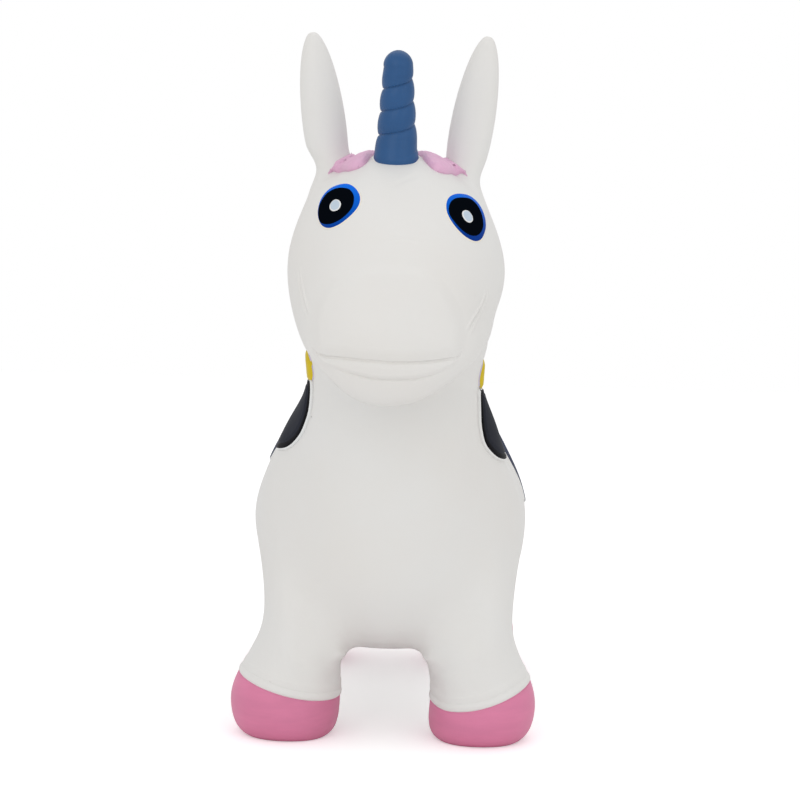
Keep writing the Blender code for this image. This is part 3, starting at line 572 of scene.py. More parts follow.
def line_reach(points, line):
    """Distance of points from a line in space, and their place along it from 0 to 1."""
    lengths = np.linalg.norm(np.diff(line, axis=0), axis=1)
    before = np.concatenate(((0,), np.cumsum(lengths)))
    nearest, place = np.full(len(points), np.inf), np.zeros(len(points))
    for n, (start, end) in enumerate(zip(line, line[1:])):
        off, share = off_straight(points, start, end)
        gap = np.linalg.norm(off, axis=1)
        closer = gap < nearest
        nearest[closer] = gap[closer]
        place[closer] = ((before[n] + share * lengths[n]) / before[-1])[closer]
    return nearest, place


def line_side(points, ups, line):
    """Signed distance of points from a line on the skin, above 0 on its left."""
    nearest, side = np.full(len(points), np.inf), np.ones(len(points))
    for start, end in zip(line, line[1:]):
        off, _ = off_straight(points, start, end)
        gap = np.linalg.norm(off, axis=1)
        closer = gap < nearest
        nearest[closer] = gap[closer]
        side[closer] = np.where((off * np.cross(ups, end - start)).sum(1) > 0, 1, -1)[closer]
    return nearest * side


def from_front(corners):
    """A line of (x, z) corners seen from the front, laid on the skin."""
    return np.array([on_skin((x, -FAR, z), (0, 1, 0))[0] for x, z in rounded_line(corners)])


CUT = "cut_field"


def cut_lines(mesh, values, levels):
    """New edges in a mesh where values at its points cross each level."""
    ends = np.empty(len(mesh.edges) * 2, np.int32)
    mesh.edges.foreach_get("vertices", ends)
    at_ends = values[ends.reshape(-1, 2)]
    near = (at_ends.min(1) <= max(levels)) & (at_ends.max(1) >= min(levels))
    stored = mesh.attributes.new(CUT, "FLOAT", "POINT")
    stored.data.foreach_set("value", values.astype(np.float32))
    bm = opened(mesh)
    field = bm.verts.layers.float[CUT]
    edges = [bm.edges[n] for n in np.flatnonzero(near)]
    for level in levels:
        fresh, on_line = [], []
        for edge in edges:
            first, last = edge.verts
            start, end = first[field] - level, last[field] - level
            span = abs(start - end)
            if abs(start) <= SNAP * span:
                on_line.append(first)
            elif abs(end) <= SNAP * span:
                on_line.append(last)
            elif (start < 0) != (end < 0):
                new_edge, vert = bmesh.utils.edge_split(edge, first, start / (start - end))
                vert[field] = level
                on_line.append(vert)
                fresh.append(new_edge)
        made = bmesh.ops.connect_verts(bm, verts=list(dict.fromkeys(on_line)))
        edges += fresh + made["edges"]
    put_back(bm, mesh)
    mesh.attributes.remove(mesh.attributes[CUT])
    return mesh


def face_centres(mesh):
    return vectors(mesh.polygons, "center")


def part_of(mesh, mask, name):
    """A new mesh of the faces in a mask, and which points of the old mesh its points are."""
    corners = whole_numbers(mesh.loops, "vertex_index")
    starts = whole_numbers(mesh.polygons, "loop_start")
    counts = whole_numbers(mesh.polygons, "loop_total")
    faces = [corners[starts[n]:starts[n] + counts[n]] for n in np.flatnonzero(mask)]
    used, again = np.unique(np.concatenate(faces), return_inverse=True)
    splits = np.cumsum([len(face) for face in faces])[:-1]
    made = bpy.data.meshes.new(name)
    made.from_pydata(places(mesh)[used].tolist(), [], [f.tolist() for f in np.split(again, splits)])
    made.shade_smooth()
    return made, used


def raised(mesh, ups, heights):
    move_to(mesh, places(mesh) + ups * heights[:, None])
    return mesh


# Relief that the mould gives the skin itself

# Outlines and lines of the face, seen from the front: x and z in metres
BULB = ((-0.0590, 0.3445), (-0.0612, 0.3560), (-0.0612, 0.3700), (-0.0572, 0.3860), (-0.0480, 0.3985),
        (-0.0330, 0.4070), (-0.0130, 0.4118), (0.0080, 0.4128), (0.0270, 0.4098), (0.0425, 0.3985),
        (0.0525, 0.3845), (0.0585, 0.3700), (0.0600, 0.3560), (0.0555, 0.3430), (0.0420, 0.3402),
        (0.0250, 0.3384), (0.0050, 0.3378), (-0.0140, 0.3385), (-0.0340, 0.3397), (-0.0500, 0.3404))
LIP = ((-0.0590, 0.3440), (-0.0514, 0.3404), (-0.0330, 0.3396), (-0.0110, 0.3385), (0.0070, 0.3378),
       (0.0280, 0.3385), (0.0444, 0.3404), (0.0550, 0.3428), (0.0505, 0.3345), (0.0392, 0.3290),
       (0.0228, 0.3246), (0.0064, 0.3233), (-0.0100, 0.3236), (-0.0266, 0.3266), (-0.0400, 0.3298),
       (-0.0520, 0.3340))
MOUTH = ((-0.0600, 0.3485), *LIP[:8], (0.0585, 0.3500))
UNDERLIP = ((-0.0420, 0.3303), *LIP[13:8:-1], (0.0470, 0.3330))
SMILES = (((-0.0755, 0.4060), (-0.0731, 0.3962), (-0.0702, 0.3858), (-0.0667, 0.3765), (-0.0630, 0.3671)),
          ((0.0775, 0.3984), (0.0762, 0.3885), (0.0715, 0.3778), (0.0659, 0.3685), (0.0600, 0.3569)))
BROW = ((-0.0120, 0.4290), (0.0004, 0.4312), (0.0099, 0.4320), (0.0194, 0.4311), (0.0300, 0.4284))
FOREHEAD_FOLD = ((-0.0030, 0.4700), (0.0032, 0.4756), (0.0132, 0.4803), (0.0215, 0.4857))

# Front of the face, and the zone round the muzzle whose faces are cut finer
FACE_Y, FACE_TILT, PILLOW_START_SHARE = -0.13, 0.2, 0.15
MUZZLE_HALF_WIDTH, MUZZLE_Y, MUZZLE_HEIGHTS, MUZZLE_CUTS = 0.086, -0.15, (0.305, 0.440), 2
# Sections of grooves and ridges, across them and in height, in shares; their fades along the line
CREASE_SHARES = ((-1, -0.45, 0, 0.45, 1), (0, -0.5, -1, -0.5, 0))
SMILE_SHARES = ((-1, -0.62, -0.3, 0, 0.3, 0.62, 1), (0, 1, 0.45, -0.35, 0.45, 1, 0))
FOLD_SHARES = ((-2.5, -1.25, 0, 1.25, 2.5), (0, -0.12, -0.26, -0.12, 0))
MOUTH_FADE, LINE_FADE, FOLD_FADE, SMILE_FADE, BROW_FADE, UNDERLIP_SHARE = 0.06, 0.2, 0.3, 0.3, 0.4, 0.8
LINE_REACH, LINE_MARGIN = 3, 4


def front_depth(mesh, outline):
    """Depth inside an outline seen from the front, for the points on the face's front."""
    points, ups = places(mesh), normals(mesh)
    depth = inside_depth(points[:, ::2], rounded_line(outline, closed=True))
    return np.where((points[:, 1] < FACE_Y) & (ups[:, 1] < FACE_TILT), depth, -1)


def refine(mesh, where, cuts):
    """Finer faces where a function of the points says so, with their points on the smooth skin."""
    finer = smooth_tree(FINE_LEVELS)
    bm = opened(mesh)
    inside = where(places(mesh))
    edges = [e for e in bm.edges if inside[e.verts[0].index] and inside[e.verts[1].index]]
    made = bmesh.ops.subdivide_edges(bm, edges=edges, cuts=cuts, use_grid_fill=True)
    for item in made["geom_inner"]:
        if isinstance(item, bmesh.types.BMVert):
            item.co = finer.find_nearest(item.co)[0]
    put_back(bm, mesh)
    mesh.shade_smooth()
    return mesh


def press_pillow(mesh, outline, rise, edge):
    """Raises what is inside an outline of the face, softly from its edge."""
    depth = front_depth(mesh, outline)
    return raised(mesh, normals(mesh), rise * eased(depth, -PILLOW_START_SHARE * edge, edge))


def press_line(mesh, line, knots, heights, fade):
    """Groove or ridge along a line on the skin: its height at distances on both sides of the line."""
    def reach():
        points, ups = places(mesh), normals(mesh)
        margin = LINE_MARGIN * knots[-1]
        close = ((points > line.min(0) - margin) & (points < line.max(0) + margin)).all(1)
        near, place, side = np.full(len(points), FAR), np.zeros(len(points)), np.ones(len(points))
        near[close], place[close] = line_reach(points[close], line)
        beside = np.flatnonzero(near < LINE_REACH * knots[-1])
        side[beside] = line_side(points[beside], ups[beside], line)
        return side, near, place

    side, _, _ = reach()
    cut_lines(mesh, side, knots)
    side, near, place = reach()
    height = np.interp(side, knots, heights, 0, 0) * (near < LINE_REACH * knots[-1])
    return raised(mesh, normals(mesh), height * eased(place, 0, fade) * eased(-place, -1, fade - 1))


def leg_frame(share, spread, side):
    """Origin at the middle of a sole, Z up along the splayed leg."""
    return (Matrix.Translation((side * spread, leg_y(share), 0))
            @ Matrix.Rotation(-side * LEG_SPLAY, 4, "Y"))


# Section of the cuff over a hoof's painted edge, and of the ring round the horn's foot
CUFF_KNOTS = (-0.0012, -0.0004, 0.0, 0.0010, 0.0032, 0.0056, 0.0068, 0.0080, 0.0116, 0.0140, 0.0160)
CUFF_SHARES = (0, -0.45, -0.35, 0.55, 0.85, 0.55, 0.10, 0.35, 0.45, 0.10, 0)
HORN_RING_KNOTS = (-0.0010, 0.0, 0.0006, 0.0014, 0.0022, 0.0030)
HORN_RING_SHARES = (0, 0.6, 1, 1, 0.4, 0)
HOOF_EDGE_RISES, HOOF_DIPS = {1: -0.0020, -1: -0.0001}, {1: 0.0070, -1: 0.0024}
LEG_REACH = 0.070
EAR_ROOT_Z, EAR_BEND_Z = 0.5030, 0.5300
HEAD_SEAM_SHARES = ((0.50, 0.00), (1.00, 0.64))


def ear_root(side):
    """Middle of the plane where an ear starts to bend."""
    base, axis = ear_base(side), ear_axis(side)
    return base + axis * ((EAR_ROOT_Z - base.z) / axis.z)


def local(points, frame):
    back = np.array(frame.inverted())
    return points @ back[:3, :3].T + back[:3, 3]


def near_leg(points, leg):
    share, _, side = LEGS[leg]
    return (np.abs(points[:, 1] - leg_y(share)) < LEG_REACH) & (points[:, 0] * side > 0)


def over_legs(points, edge_of):
    """Height of points above an edge on their own leg, and NOWHERE away from the legs."""
    heights = np.full(len(points), NOWHERE)
    for leg, placed in LEGS.items():
        place = local(points, leg_frame(*placed))
        height = place[:, 2] - edge_of(place, placed[-1])
        near = near_leg(points, leg) & (height < LEG_REACH / 2)
        heights[near] = height[near]
    return heights


def over_hoof(points):
    """Height of points above the painted edge of their hoof, which dips in front and behind."""
    def edge(place, side):
        outward = place[:, 0] / np.maximum(np.hypot(place[:, 0], place[:, 1]), TINY)
        return HOOF_HEIGHT + HOOF_EDGE_RISES[side] - HOOF_DIPS[side] * (1 - outward ** 2)
    return over_legs(points, edge)


def over_leg(points):
    """Height of points above the plane where their lower leg starts."""
    return over_legs(points, lambda place, side: LEG_TOP)


def past_ear_root(points):
    """Height of points along their ear, past the plane where it starts to bend."""
    heights = np.full(len(points), -NOWHERE)
    for side in (1, -1):
        height = (points - np.array(ear_root(side))) @ np.array(ear_axis(side))
        near = (points[:, 0] * side > EAR_SPREAD / 2) & (height > -EAR_WIDTH / 2)
        heights[near] = height[near]
    return heights


def past_head_seam(points):
    """Distance of points past the plane between the neck and the head."""
    low, high = (head_point(*share) for share in HEAD_SEAM_SHARES)
    line = high - low
    out = np.array((0, -line.z, line.y)) / line.length
    return (points - np.array(low)) @ out


def press_ring(mesh, distance, knots, heights):
    """Ring whose height follows a distance that is a function of the points."""
    cut_lines(mesh, distance(places(mesh)), knots)
    return raised(mesh, normals(mesh), np.interp(distance(places(mesh)), knots, heights, 0, 0))


def press_soles(mesh):
    """Soles pressed flat on the floor."""
    cut_lines(mesh, places(mesh)[:, 2], [0.0])
    move_to(mesh, np.maximum(places(mesh), (-FAR, -FAR, 0)))


def off_horn(points):
    """Distance of points on the head from the side of the horn's foot."""
    place = local(points, horn_frame())
    off = np.hypot(place[:, 0], place[:, 1]) - toy().horn.base_width / 2
    return np.where(np.abs(place[:, 2]) < PLANE_REACH, off, NOWHERE)


@functools.lru_cache(maxsize=None)
def moulded_skin():
    """The dense skin with all that the mould presses into it; it is only ever copied."""
    size = toy().skin
    mesh = smooth_skin().copy()
    mesh.name = "moulded_skin"
    press_soles(mesh)
    low, high = MUZZLE_HEIGHTS
    refine(mesh, lambda p: (np.abs(p[:, 0]) < MUZZLE_HALF_WIDTH) & (p[:, 1] < MUZZLE_Y)
           & (p[:, 2] > low) & (p[:, 2] < high), MUZZLE_CUTS)
    press_pillow(mesh, BULB, size.muzzle_rise, size.muzzle_edge)
    press_pillow(mesh, LIP, size.lip_rise, size.lip_edge)
    half, depth = size.crease_width / 2, size.crease_depth
    lines = [(MOUTH, CREASE_SHARES, half, depth, MOUTH_FADE),
             (UNDERLIP, CREASE_SHARES, half, depth * UNDERLIP_SHARE, LINE_FADE)]
    lines += [(smile, SMILE_SHARES, size.smile_width / 2, size.smile_rise, SMILE_FADE)
              for smile in SMILES]
    lines += [(BROW, FOLD_SHARES, half, depth, BROW_FADE),
              (FOREHEAD_FOLD, FOLD_SHARES, half, depth, FOLD_FADE)]
    for corners, (across, rise), width, height, fade in lines:
        press_line(mesh, from_front(corners), width * np.array(across), height * np.array(rise), fade)
    press_ring(mesh, off_horn, HORN_RING_KNOTS, size.seat_ring_rise * np.array(HORN_RING_SHARES))
    press_ring(mesh, over_hoof, CUFF_KNOTS, size.cuff_rise * np.array(CUFF_SHARES))
    cut_lines(mesh, np.minimum(over_leg(places(mesh)), -past_ear_root(places(mesh))), [0.0])
    cut_lines(mesh, past_head_seam(places(mesh)), [0.0])
    return mesh


# The skin cut into its zones


def zone(name, where):
    """One closed zone of the moulded skin; its shading runs on into the zones beside it."""
    whole = moulded_skin()
    mesh, used = part_of(whole, where(face_centres(whole)), name)
    ups = normals(whole)[used]
    bm = opened(mesh)
    count = len(bm.faces)
    filled = bmesh.ops.holes_fill(bm, edges=[e for e in bm.edges if e.is_boundary], sides=0)["faces"]
    bmesh.ops.triangulate(bm, faces=filled)
    bm.normal_update()
    corner_ups = []
    for n, face in enumerate(bm.faces):
        corner_ups += [face.normal[:] if n >= count else ups[v.index] for v in face.verts]
    put_back(bm, mesh)
    mesh.shade_smooth()
    mesh.normals_split_custom_set(corner_ups)
    return add(name, mesh)


# Raised trim that follows the skin

# How deep a relief's edge lies under the skin, and its thickness behind
TUCK, BACK = 0.0006, 0.0012


def rising(rise, *shares, tuck=TUCK):
    """Heights of a relief: its edge tucked under the skin, then shares of its rise."""
    return (-tuck, *(rise * share for share in shares))


def relief(name, depth_of, knots, heights, paints, back=BACK, shape=None, levels=SKIN_LEVELS):
    """Raised zone of the skin: its height over the skin at each depth inside its outline.

    The paints are (least depth, material), from the edge inwards; shape adds to the height.
    """
    base = smooth_skin(levels)
    depth = depth_of(places(base), normals(base))
    corners = whole_numbers(base.loops, "vertex_index")
    deepest = np.maximum.reduceat(depth[corners], whole_numbers(base.polygons, "loop_start"))
    mesh, _ = part_of(base, deepest > knots[0] - RELIEF_MARGIN, name)
    lines = sorted(set(knots) | {least for least, _ in paints if least > knots[0]})
    cut_lines(mesh, depth_of(places(mesh), normals(mesh)), lines)
    points, ups = places(mesh), normals(mesh)
    depth = depth_of(points, ups)
    height = np.interp(depth, knots, heights)
    if shape:
        height = height + shape(points, depth)
    face_depth = depth_of(face_centres(mesh), vectors(mesh.polygons, "normal"))
    move_to(mesh, points + ups * height[:, None])
    inside = face_depth > knots[0]
    mesh, _ = part_of(mesh, inside, name)
    index = np.searchsorted([least for least, _ in paints], face_depth[inside], "right") - 1
    for _, material in paints:
        mesh.materials.append(material)
    mesh.polygons.foreach_set("material_index", np.maximum(index, 0).astype(np.int32))
    obj = add(name, mesh)
    layer = obj.modifiers.new("back", "SOLIDIFY")
    layer.thickness = back
    layer.offset = -1
    closed = baked(obj)
    closed.shade_smooth()
    return add(name, closed)


def by_side(left, right):
    """One depth for the toy's left side, another for its right."""
    def depth_of(points, ups):
        return np.where(points[:, 0] > 0, left(points, ups), right(points, ups))
    return depth_of


def seen_from_side(outline, left=(0, 0), right=(0, 0)):
    """Depth along the skin inside an outline of y and z, moved a little on each side of the toy."""
    line = rounded_line(outline, closed=True)

    def depth_of(points, ups):
        share = np.clip(points[:, :1] / SHIFT_WIDTH, -1, 1)
        share = share * eased(-points[:, 1:2], *SHIFT_FRONT)
        move = np.maximum(share, 0) * np.array(left) + np.maximum(-share, 0) * np.array(right)
        flat = points[:, 1:] - move
        depth = inside_depth(flat, line)
        rises = [(inside_depth(flat + step, line) - depth) / NUDGE
                 for step in ((NUDGE, 0), (0, NUDGE))]
        across = rises[0] * ups[:, 1] + rises[1] * ups[:, 2]
        return depth / np.sqrt(np.clip(1 - across ** 2, LEAST_SLANT_SHARE, 1))
    return depth_of


def seen_from_behind(outline, front):
    """Depth inside an outline of x and z, for the points behind a given y."""
    line = rounded_line(outline, closed=True)

    def depth_of(points, ups):
        return np.minimum(inside_depth(points[:, ::2], line), points[:, 1] - front)
    return depth_of


def ride(obj, slot, *nodes, body="body"):
    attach(obj, body)
    if nodes:
        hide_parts(*nodes)
    return obj


# Finishes


class Finish:
    """Builder of a node tree round one Principled shader."""

    def __init__(self, name):
        self.material = bpy.data.materials.new(name)
        self.material.use_nodes = True
        self.tree = self.material.node_tree
        self.shader = self.tree.nodes["Principled BSDF"]
        self.place = self.tree.nodes.new("ShaderNodeTexCoord").outputs["Object"]

    def node(self, kind, inputs=None, **settings):
        node = self.tree.nodes.new(kind)
        for key, value in settings.items():
            setattr(node, key, value)
        for key, value in (inputs or {}).items():
            if isinstance(value, bpy.types.NodeSocket):
                self.tree.links.new(value, node.inputs[key])
            else:
                node.inputs[key].default_value = value
        return node

    def noise(self, scale, detail, roughness, place=None):
        inputs = {"Vector": place or self.place, "Scale": scale, "Detail": detail,
                  "Roughness": roughness}
        return self.node("ShaderNodeTexNoise", inputs).outputs["Fac"]

    def ranged(self, value, low, high, start, end):
        inputs = {"Value": value, "From Min": low, "From Max": high, "To Min": start, "To Max": end}
        return self.node("ShaderNodeMapRange", inputs).outputs["Result"]

    def mixed(self, share, first, second):
        node = self.node("ShaderNodeMix", data_type="RGBA")
        for socket, value in ((node.inputs[0], share), (node.inputs[6], first),
                              (node.inputs[7], second)):
            if isinstance(value, bpy.types.NodeSocket):
                self.tree.links.new(value, socket)
            else:
                socket.default_value = (*value, 1) if hasattr(value, "__len__") else value
        return node.outputs[2]

    def bumped(self, height, distance, strength, under):
        inputs = {"Height": height, "Distance": distance, "Strength": strength}
        if under:
            inputs["Normal"] = under
        return self.node("ShaderNodeBump", inputs).outputs["Normal"]

    def link(self, value, socket):
        self.tree.links.new(value, self.shader.inputs[socket])


def tinted(colour, value=1.0, warm=0.0):
    red, green, blue = colour
    return (min(red * value * (1 + warm), 1), min(green * value, 1), min(blue * value * (1 - warm), 1))


# Textures of the vinyl: scale, detail and roughness of each noise, and the range of it that shows
CLOUDS, CLOUD_RANGE = (7.0, 4.0, 0.55), (0.32, 0.68)
SPECKS, SPECK_RANGE, SPECK_SHARE, SPECK_TONE = (260.0, 3.0, 0.7), (0.60, 0.78), 0.10, (0.86, 0.01)
STREAKS, STREAK_RANGE, STREAK_TONE, STREAK_STRETCH = (1.6, 5.0, 0.6), (0.42, 0.72), 1.28, (9, 9, 46)
SHEEN, SHEEN_RANGE, SHEEN_SPREAD = (24.0, 4.0, 0.6), (0.3, 0.7), (0.05, 0.06)
# Orange peel, ripple and pores: noise, depth in metres and strength
BUMPS = (((230.0, 2.0, 0.5), 0.00009, 0.8), ((38.0, 2.0, 0.5), 0.00022, 0.55),
         ((1500.0, 1.0, 0.5), 0.00002, 0.7))
IRIS_FOOT_Z, IRIS_TOP_Z = 0.436, 0.474


def vinyl(name, colour, rough, mottle, warm=0.012, grain=1.0, streaks=0.0, shine=0.42):
    """Soft moulded vinyl: faint cloudy colour, orange peel and fine pores, uneven sheen."""
    finish = Finish(name)
    clouds = finish.ranged(finish.noise(*CLOUDS), *CLOUD_RANGE, 0.0, 1.0)
    tone = finish.mixed(clouds, tinted(colour, 1 - mottle, warm), tinted(colour, 1 + mottle, -warm))
    specks = finish.ranged(finish.noise(*SPECKS), *SPECK_RANGE, 0.0, SPECK_SHARE)
    tone = finish.mixed(specks, tone, tinted(colour, *SPECK_TONE))
    if streaks:
        long = finish.node("ShaderNodeMapping", {"Vector": finish.place, "Scale": STREAK_STRETCH})
        brushed = finish.ranged(finish.noise(*STREAKS, long.outputs["Vector"]), *STREAK_RANGE,
                                0.0, streaks)
        tone = finish.mixed(brushed, tone, tinted(colour, STREAK_TONE))
    finish.link(tone, "Base Color")
    smoother, rougher = SHEEN_SPREAD
    sheen = finish.ranged(finish.noise(*SHEEN), *SHEEN_RANGE, rough - smoother, rough + rougher)
    finish.link(sheen, "Roughness")
    surface = None
    for texture, depth, strength in BUMPS:
        surface = finish.bumped(finish.noise(*texture), depth, strength * grain, surface)
    finish.link(surface, "Normal")
    finish.shader.inputs["Specular IOR Level"].default_value = shine
    finish.material.diffuse_color = (*colour, 1)
    return finish


@functools.lru_cache(maxsize=None)
def finishes():
    """Every finish of the toy, by name."""
    paint = toy().paint
    made = {
        "white": vinyl("white_vinyl", paint.skin, rough=0.44, mottle=0.012, warm=0.008),
        "pink": vinyl("hoof_pink_vinyl", paint.hoof, rough=0.46, mottle=0.07, streaks=0.35),
        "blue": vinyl("horn_blue_vinyl", paint.horn, rough=0.36, mottle=0.14, streaks=0.30, shine=0.30),
        "hair": vinyl("hair_pink_paint", paint.hair, rough=0.46, mottle=0.05, streaks=0.20),
        "seat": vinyl("seat_slate_paint", paint.seat, rough=0.50, mottle=0.10, streaks=0.25,
                      shine=0.02),
        "rim": vinyl("seat_rim_paint", paint.seat_rim, rough=0.46, mottle=0.08, shine=0.02),
        "navy": vinyl("blanket_navy_paint", paint.blanket, rough=0.48, mottle=0.10, streaks=0.2,
                      shine=0.02),
        "yellow": vinyl("pommel_yellow_paint", paint.pommel, rough=0.42, mottle=0.05, shine=0.15),
        # White of the lines along the outer edges of blanket and seat: the bare raised edge, a little
        # brighter than the skin as a painted highlight of that edge
        "line": vinyl("white_line_and_edge_highlight_paint", paint.line, rough=0.40, mottle=0.01, grain=0.5),
        "cream": vinyl("cream_line_paint", paint.cream, rough=0.42, mottle=0.01, grain=0.5),
        "lilac": vinyl("lilac_line_paint", paint.lilac, rough=0.42, mottle=0.02, grain=0.5),
        "pupil": vinyl("pupil_paint", paint.pupil, rough=0.45, mottle=0.05, grain=0.3, shine=0.0),
        "glint": vinyl("glint_paint", paint.line, rough=0.26, mottle=0.01, grain=0.3, shine=0.15),
        "glint_core": vinyl("glint_core_paint", paint.glint, rough=0.26, mottle=0.02, grain=0.3,
                            shine=0.15),
        "iris": vinyl("iris_paint", paint.iris, rough=0.30, mottle=0.04, grain=0.3, shine=0.02),
        "valve": vinyl("valve_plastic", paint.valve, rough=0.36, mottle=0.01, grain=0.6),
        "plug": vinyl("plug_plastic", paint.valve, rough=0.32, mottle=0.01, grain=0.4),
    }
    iris = made["iris"]
    height = iris.node("ShaderNodeSeparateXYZ", {"Vector": iris.place}).outputs["Z"]
    share = iris.ranged(height, IRIS_FOOT_Z, IRIS_TOP_Z, 0.0, 1.0)
    iris.link(iris.mixed(share, tuple(paint.iris_low), tuple(paint.iris)), "Base Color")
    return {name: finish.material for name, finish in made.items()}


# Horn, by geometry nodes

HORN_LEAN, HORN_PLACE_SHARE = math.radians(12.0), 0.615
# Turns that lie below the head, all turns, rows of points in a turn and sides of the horn
HORN_START, HORN_TURNS, HORN_ROWS, HORN_SIDES = 2.673, 9, 34, 96
HORN_FOOT_FADE, HORN_FOOT_BULGE, HORN_DOME_SHARE = 0.016, 0.0042, 0.13
GROOVE_ROUNDNESS, TIP_FADE_SHARE = 0.42, 0.14


def horn_frame():
    """Foot of the horn on the head, Z up along its axis."""
    point, _ = on_skin((0, NOSE_Y + HORN_PLACE_SHARE * HEAD_LENGTH, FAR), (0, 0, -1))
    return Matrix.Translation(point) @ Matrix.Rotation(HORN_LEAN, 4, "X")


class NodeTree:
    """Builder of a geometry node tree with named inputs."""

    def __init__(self, name, inputs):
        self.tree = bpy.data.node_groups.new(name, "GeometryNodeTree")
        self.identifiers = {}
        self.tree.interface.new_socket("Geometry", in_out="INPUT", socket_type="NodeSocketGeometry")
        for label, kind in inputs.items():
            socket = self.tree.interface.new_socket(label, in_out="INPUT", socket_type=kind)
            self.identifiers[label] = socket.identifier
        self.tree.interface.new_socket("Geometry", in_out="OUTPUT", socket_type="NodeSocketGeometry")
        self.source = self.tree.nodes.new("NodeGroupInput").outputs
        self.sink = self.tree.nodes.new("NodeGroupOutput").inputs

    def node(self, kind, *inputs, **settings):
        node = self.tree.nodes.new(kind)
        for key, value in settings.items():
            if key != "named":
                setattr(node, key, value)
        pairs = list(enumerate(inputs)) + list(settings.get("named", {}).items())
        for key, value in pairs:
            if isinstance(value, bpy.types.NodeSocket):
                self.tree.links.new(value, node.inputs[key])
            elif value is not None:
                node.inputs[key].default_value = value
        return node

    def math(self, operation, *values):
        return self.node("ShaderNodeMath", *values, operation=operation).outputs[0]

    def finish(self, geometry):
        real = self.node("GeometryNodeRealizeInstances", geometry).outputs[0]
        painted = self.node("GeometryNodeSetMaterial",
                            named={"Geometry": real, "Material": self.source["Material"]})
        self.tree.links.new(painted.outputs[0], self.sink[0])
        return self.tree


def made_by(name, builder, values):
    """A plain mesh object from a geometry node tree and the values of its named inputs."""
    obj = add(name, bpy.data.meshes.new(name))
    modifier = obj.modifiers.new(name, "NODES")
    modifier.node_group = builder.tree
    for label, value in values.items():
        modifier[builder.identifiers[label]] = value
    return add(name, baked(obj))


def horn_tree():
    """Rows of points that follow the spiral, so that its groove lies on an edge of the mesh."""
    lengths = ("Length", "Sink", "Base Radius", "Tip Radius", "Dome", "Low Pitch", "Pitch Loss",
               "Groove", "Foot Fade", "Foot Bulge", "Start")
    inputs = dict.fromkeys(lengths, "NodeSocketFloat")
    inputs |= dict.fromkeys(("Turns", "Rows Per Turn", "Sides"), "NodeSocketInt")
    inputs["Material"] = "NodeSocketMaterial"
    t = NodeTree("spiral_horn", inputs)
    get = t.source
    plus, minus, times, over, least, most = (functools.partial(t.math, operation) for operation in (
        "ADD", "SUBTRACT", "MULTIPLY", "DIVIDE", "MINIMUM", "MAXIMUM"))
    rows = times(get["Turns"], get["Rows Per Turn"])
    grid = t.node("GeometryNodeMeshGrid", 1.0, 1.0, plus(get["Sides"], 1.0), plus(rows, 1.0)).outputs[0]
    place = t.node("ShaderNodeSeparateXYZ", t.node("GeometryNodeInputPosition").outputs[0]).outputs
    around = plus(place["X"], 0.5)
    row = times(plus(place["Y"], 0.5), get["Turns"])
    phase = minus(plus(row, around), get["Start"])
    foot = times(get["Sink"], -1.0)
    free = minus(times(phase, get["Low Pitch"]), times(times(phase, phase), get["Pitch Loss"]))
    height = least(most(free, foot), get["Length"])
    share = most(over(height, get["Length"]), 0.0)
    cone = plus(get["Base Radius"], times(minus(get["Tip Radius"], get["Base Radius"]), share))
    shoulder = minus(1.0, get["Dome"])
    dome = over(most(minus(share, shoulder), 0.0), get["Dome"])
    cap = t.math("SQRT", most(minus(1.0, times(dome, dome)), 0.0))
    wave = t.math("ABSOLUTE", t.math("SINE", times(row, math.pi)))
    dip = minus(1.0, t.math("POWER", wave, GROOVE_ROUNDNESS))
    above = over(height, get["Foot Fade"])
    below = over(minus(shoulder, share), TIP_FADE_SHARE)
    fade = most(least(least(above, below), 1.0), 0.0)
    groove = times(times(dip, get["Groove"]), fade)
    seen = t.math("GREATER_THAN", free, foot)
    radius = times(times(minus(cone, groove), cap), seen)
    angle = times(around, 2 * math.pi)
    ahead = most(times(t.math("SINE", angle), -1.0), 0.0)
    low = least(most(minus(1.0, above), 0.0), 1.0)
    bulge = times(times(ahead, get["Foot Bulge"]), times(low, seen))
    radius = most(plus(radius, bulge), 0.0)
    moved = t.node("ShaderNodeCombineXYZ", times(radius, t.math("COSINE", angle)),
                   times(radius, t.math("SINE", angle)), height).outputs[0]
    lofted = t.node("GeometryNodeSetPosition", named={"Geometry": grid, "Position": moved}).outputs[0]
    welded = t.node("GeometryNodeMergeByDistance", named={"Geometry": lofted, "Distance": WELD})
    t.finish(welded.outputs[0])
    return t


def cleaned(obj, frame=None, smooth=True):
    """Closed mesh with its doubles merged, faces outwards and its place in its points."""
    bm = opened(obj.data)
    bmesh.ops.remove_doubles(bm, verts=bm.verts, dist=WELD)
    bmesh.ops.dissolve_degenerate(bm, edges=bm.edges, dist=WELD / 2)
    bmesh.ops.holes_fill(bm, edges=[e for e in bm.edges if e.is_boundary], sides=0)
    if frame:
        bmesh.ops.transform(bm, matrix=frame, verts=bm.verts)
    bmesh.ops.recalc_face_normals(bm, faces=bm.faces)
    put_back(bm, obj.data)
    if smooth:
        obj.data.shade_smooth()
    return obj


# Settings that a user would change


def length(label, description, default):
    return FloatProperty(name=label, description=description, default=default, precision=4,
                         unit="LENGTH", subtype="DISTANCE")


def colour(label, description, default):
    return FloatVectorProperty(name=label, description=description, default=default, size=3,
                               min=0, max=1, subtype="COLOR")


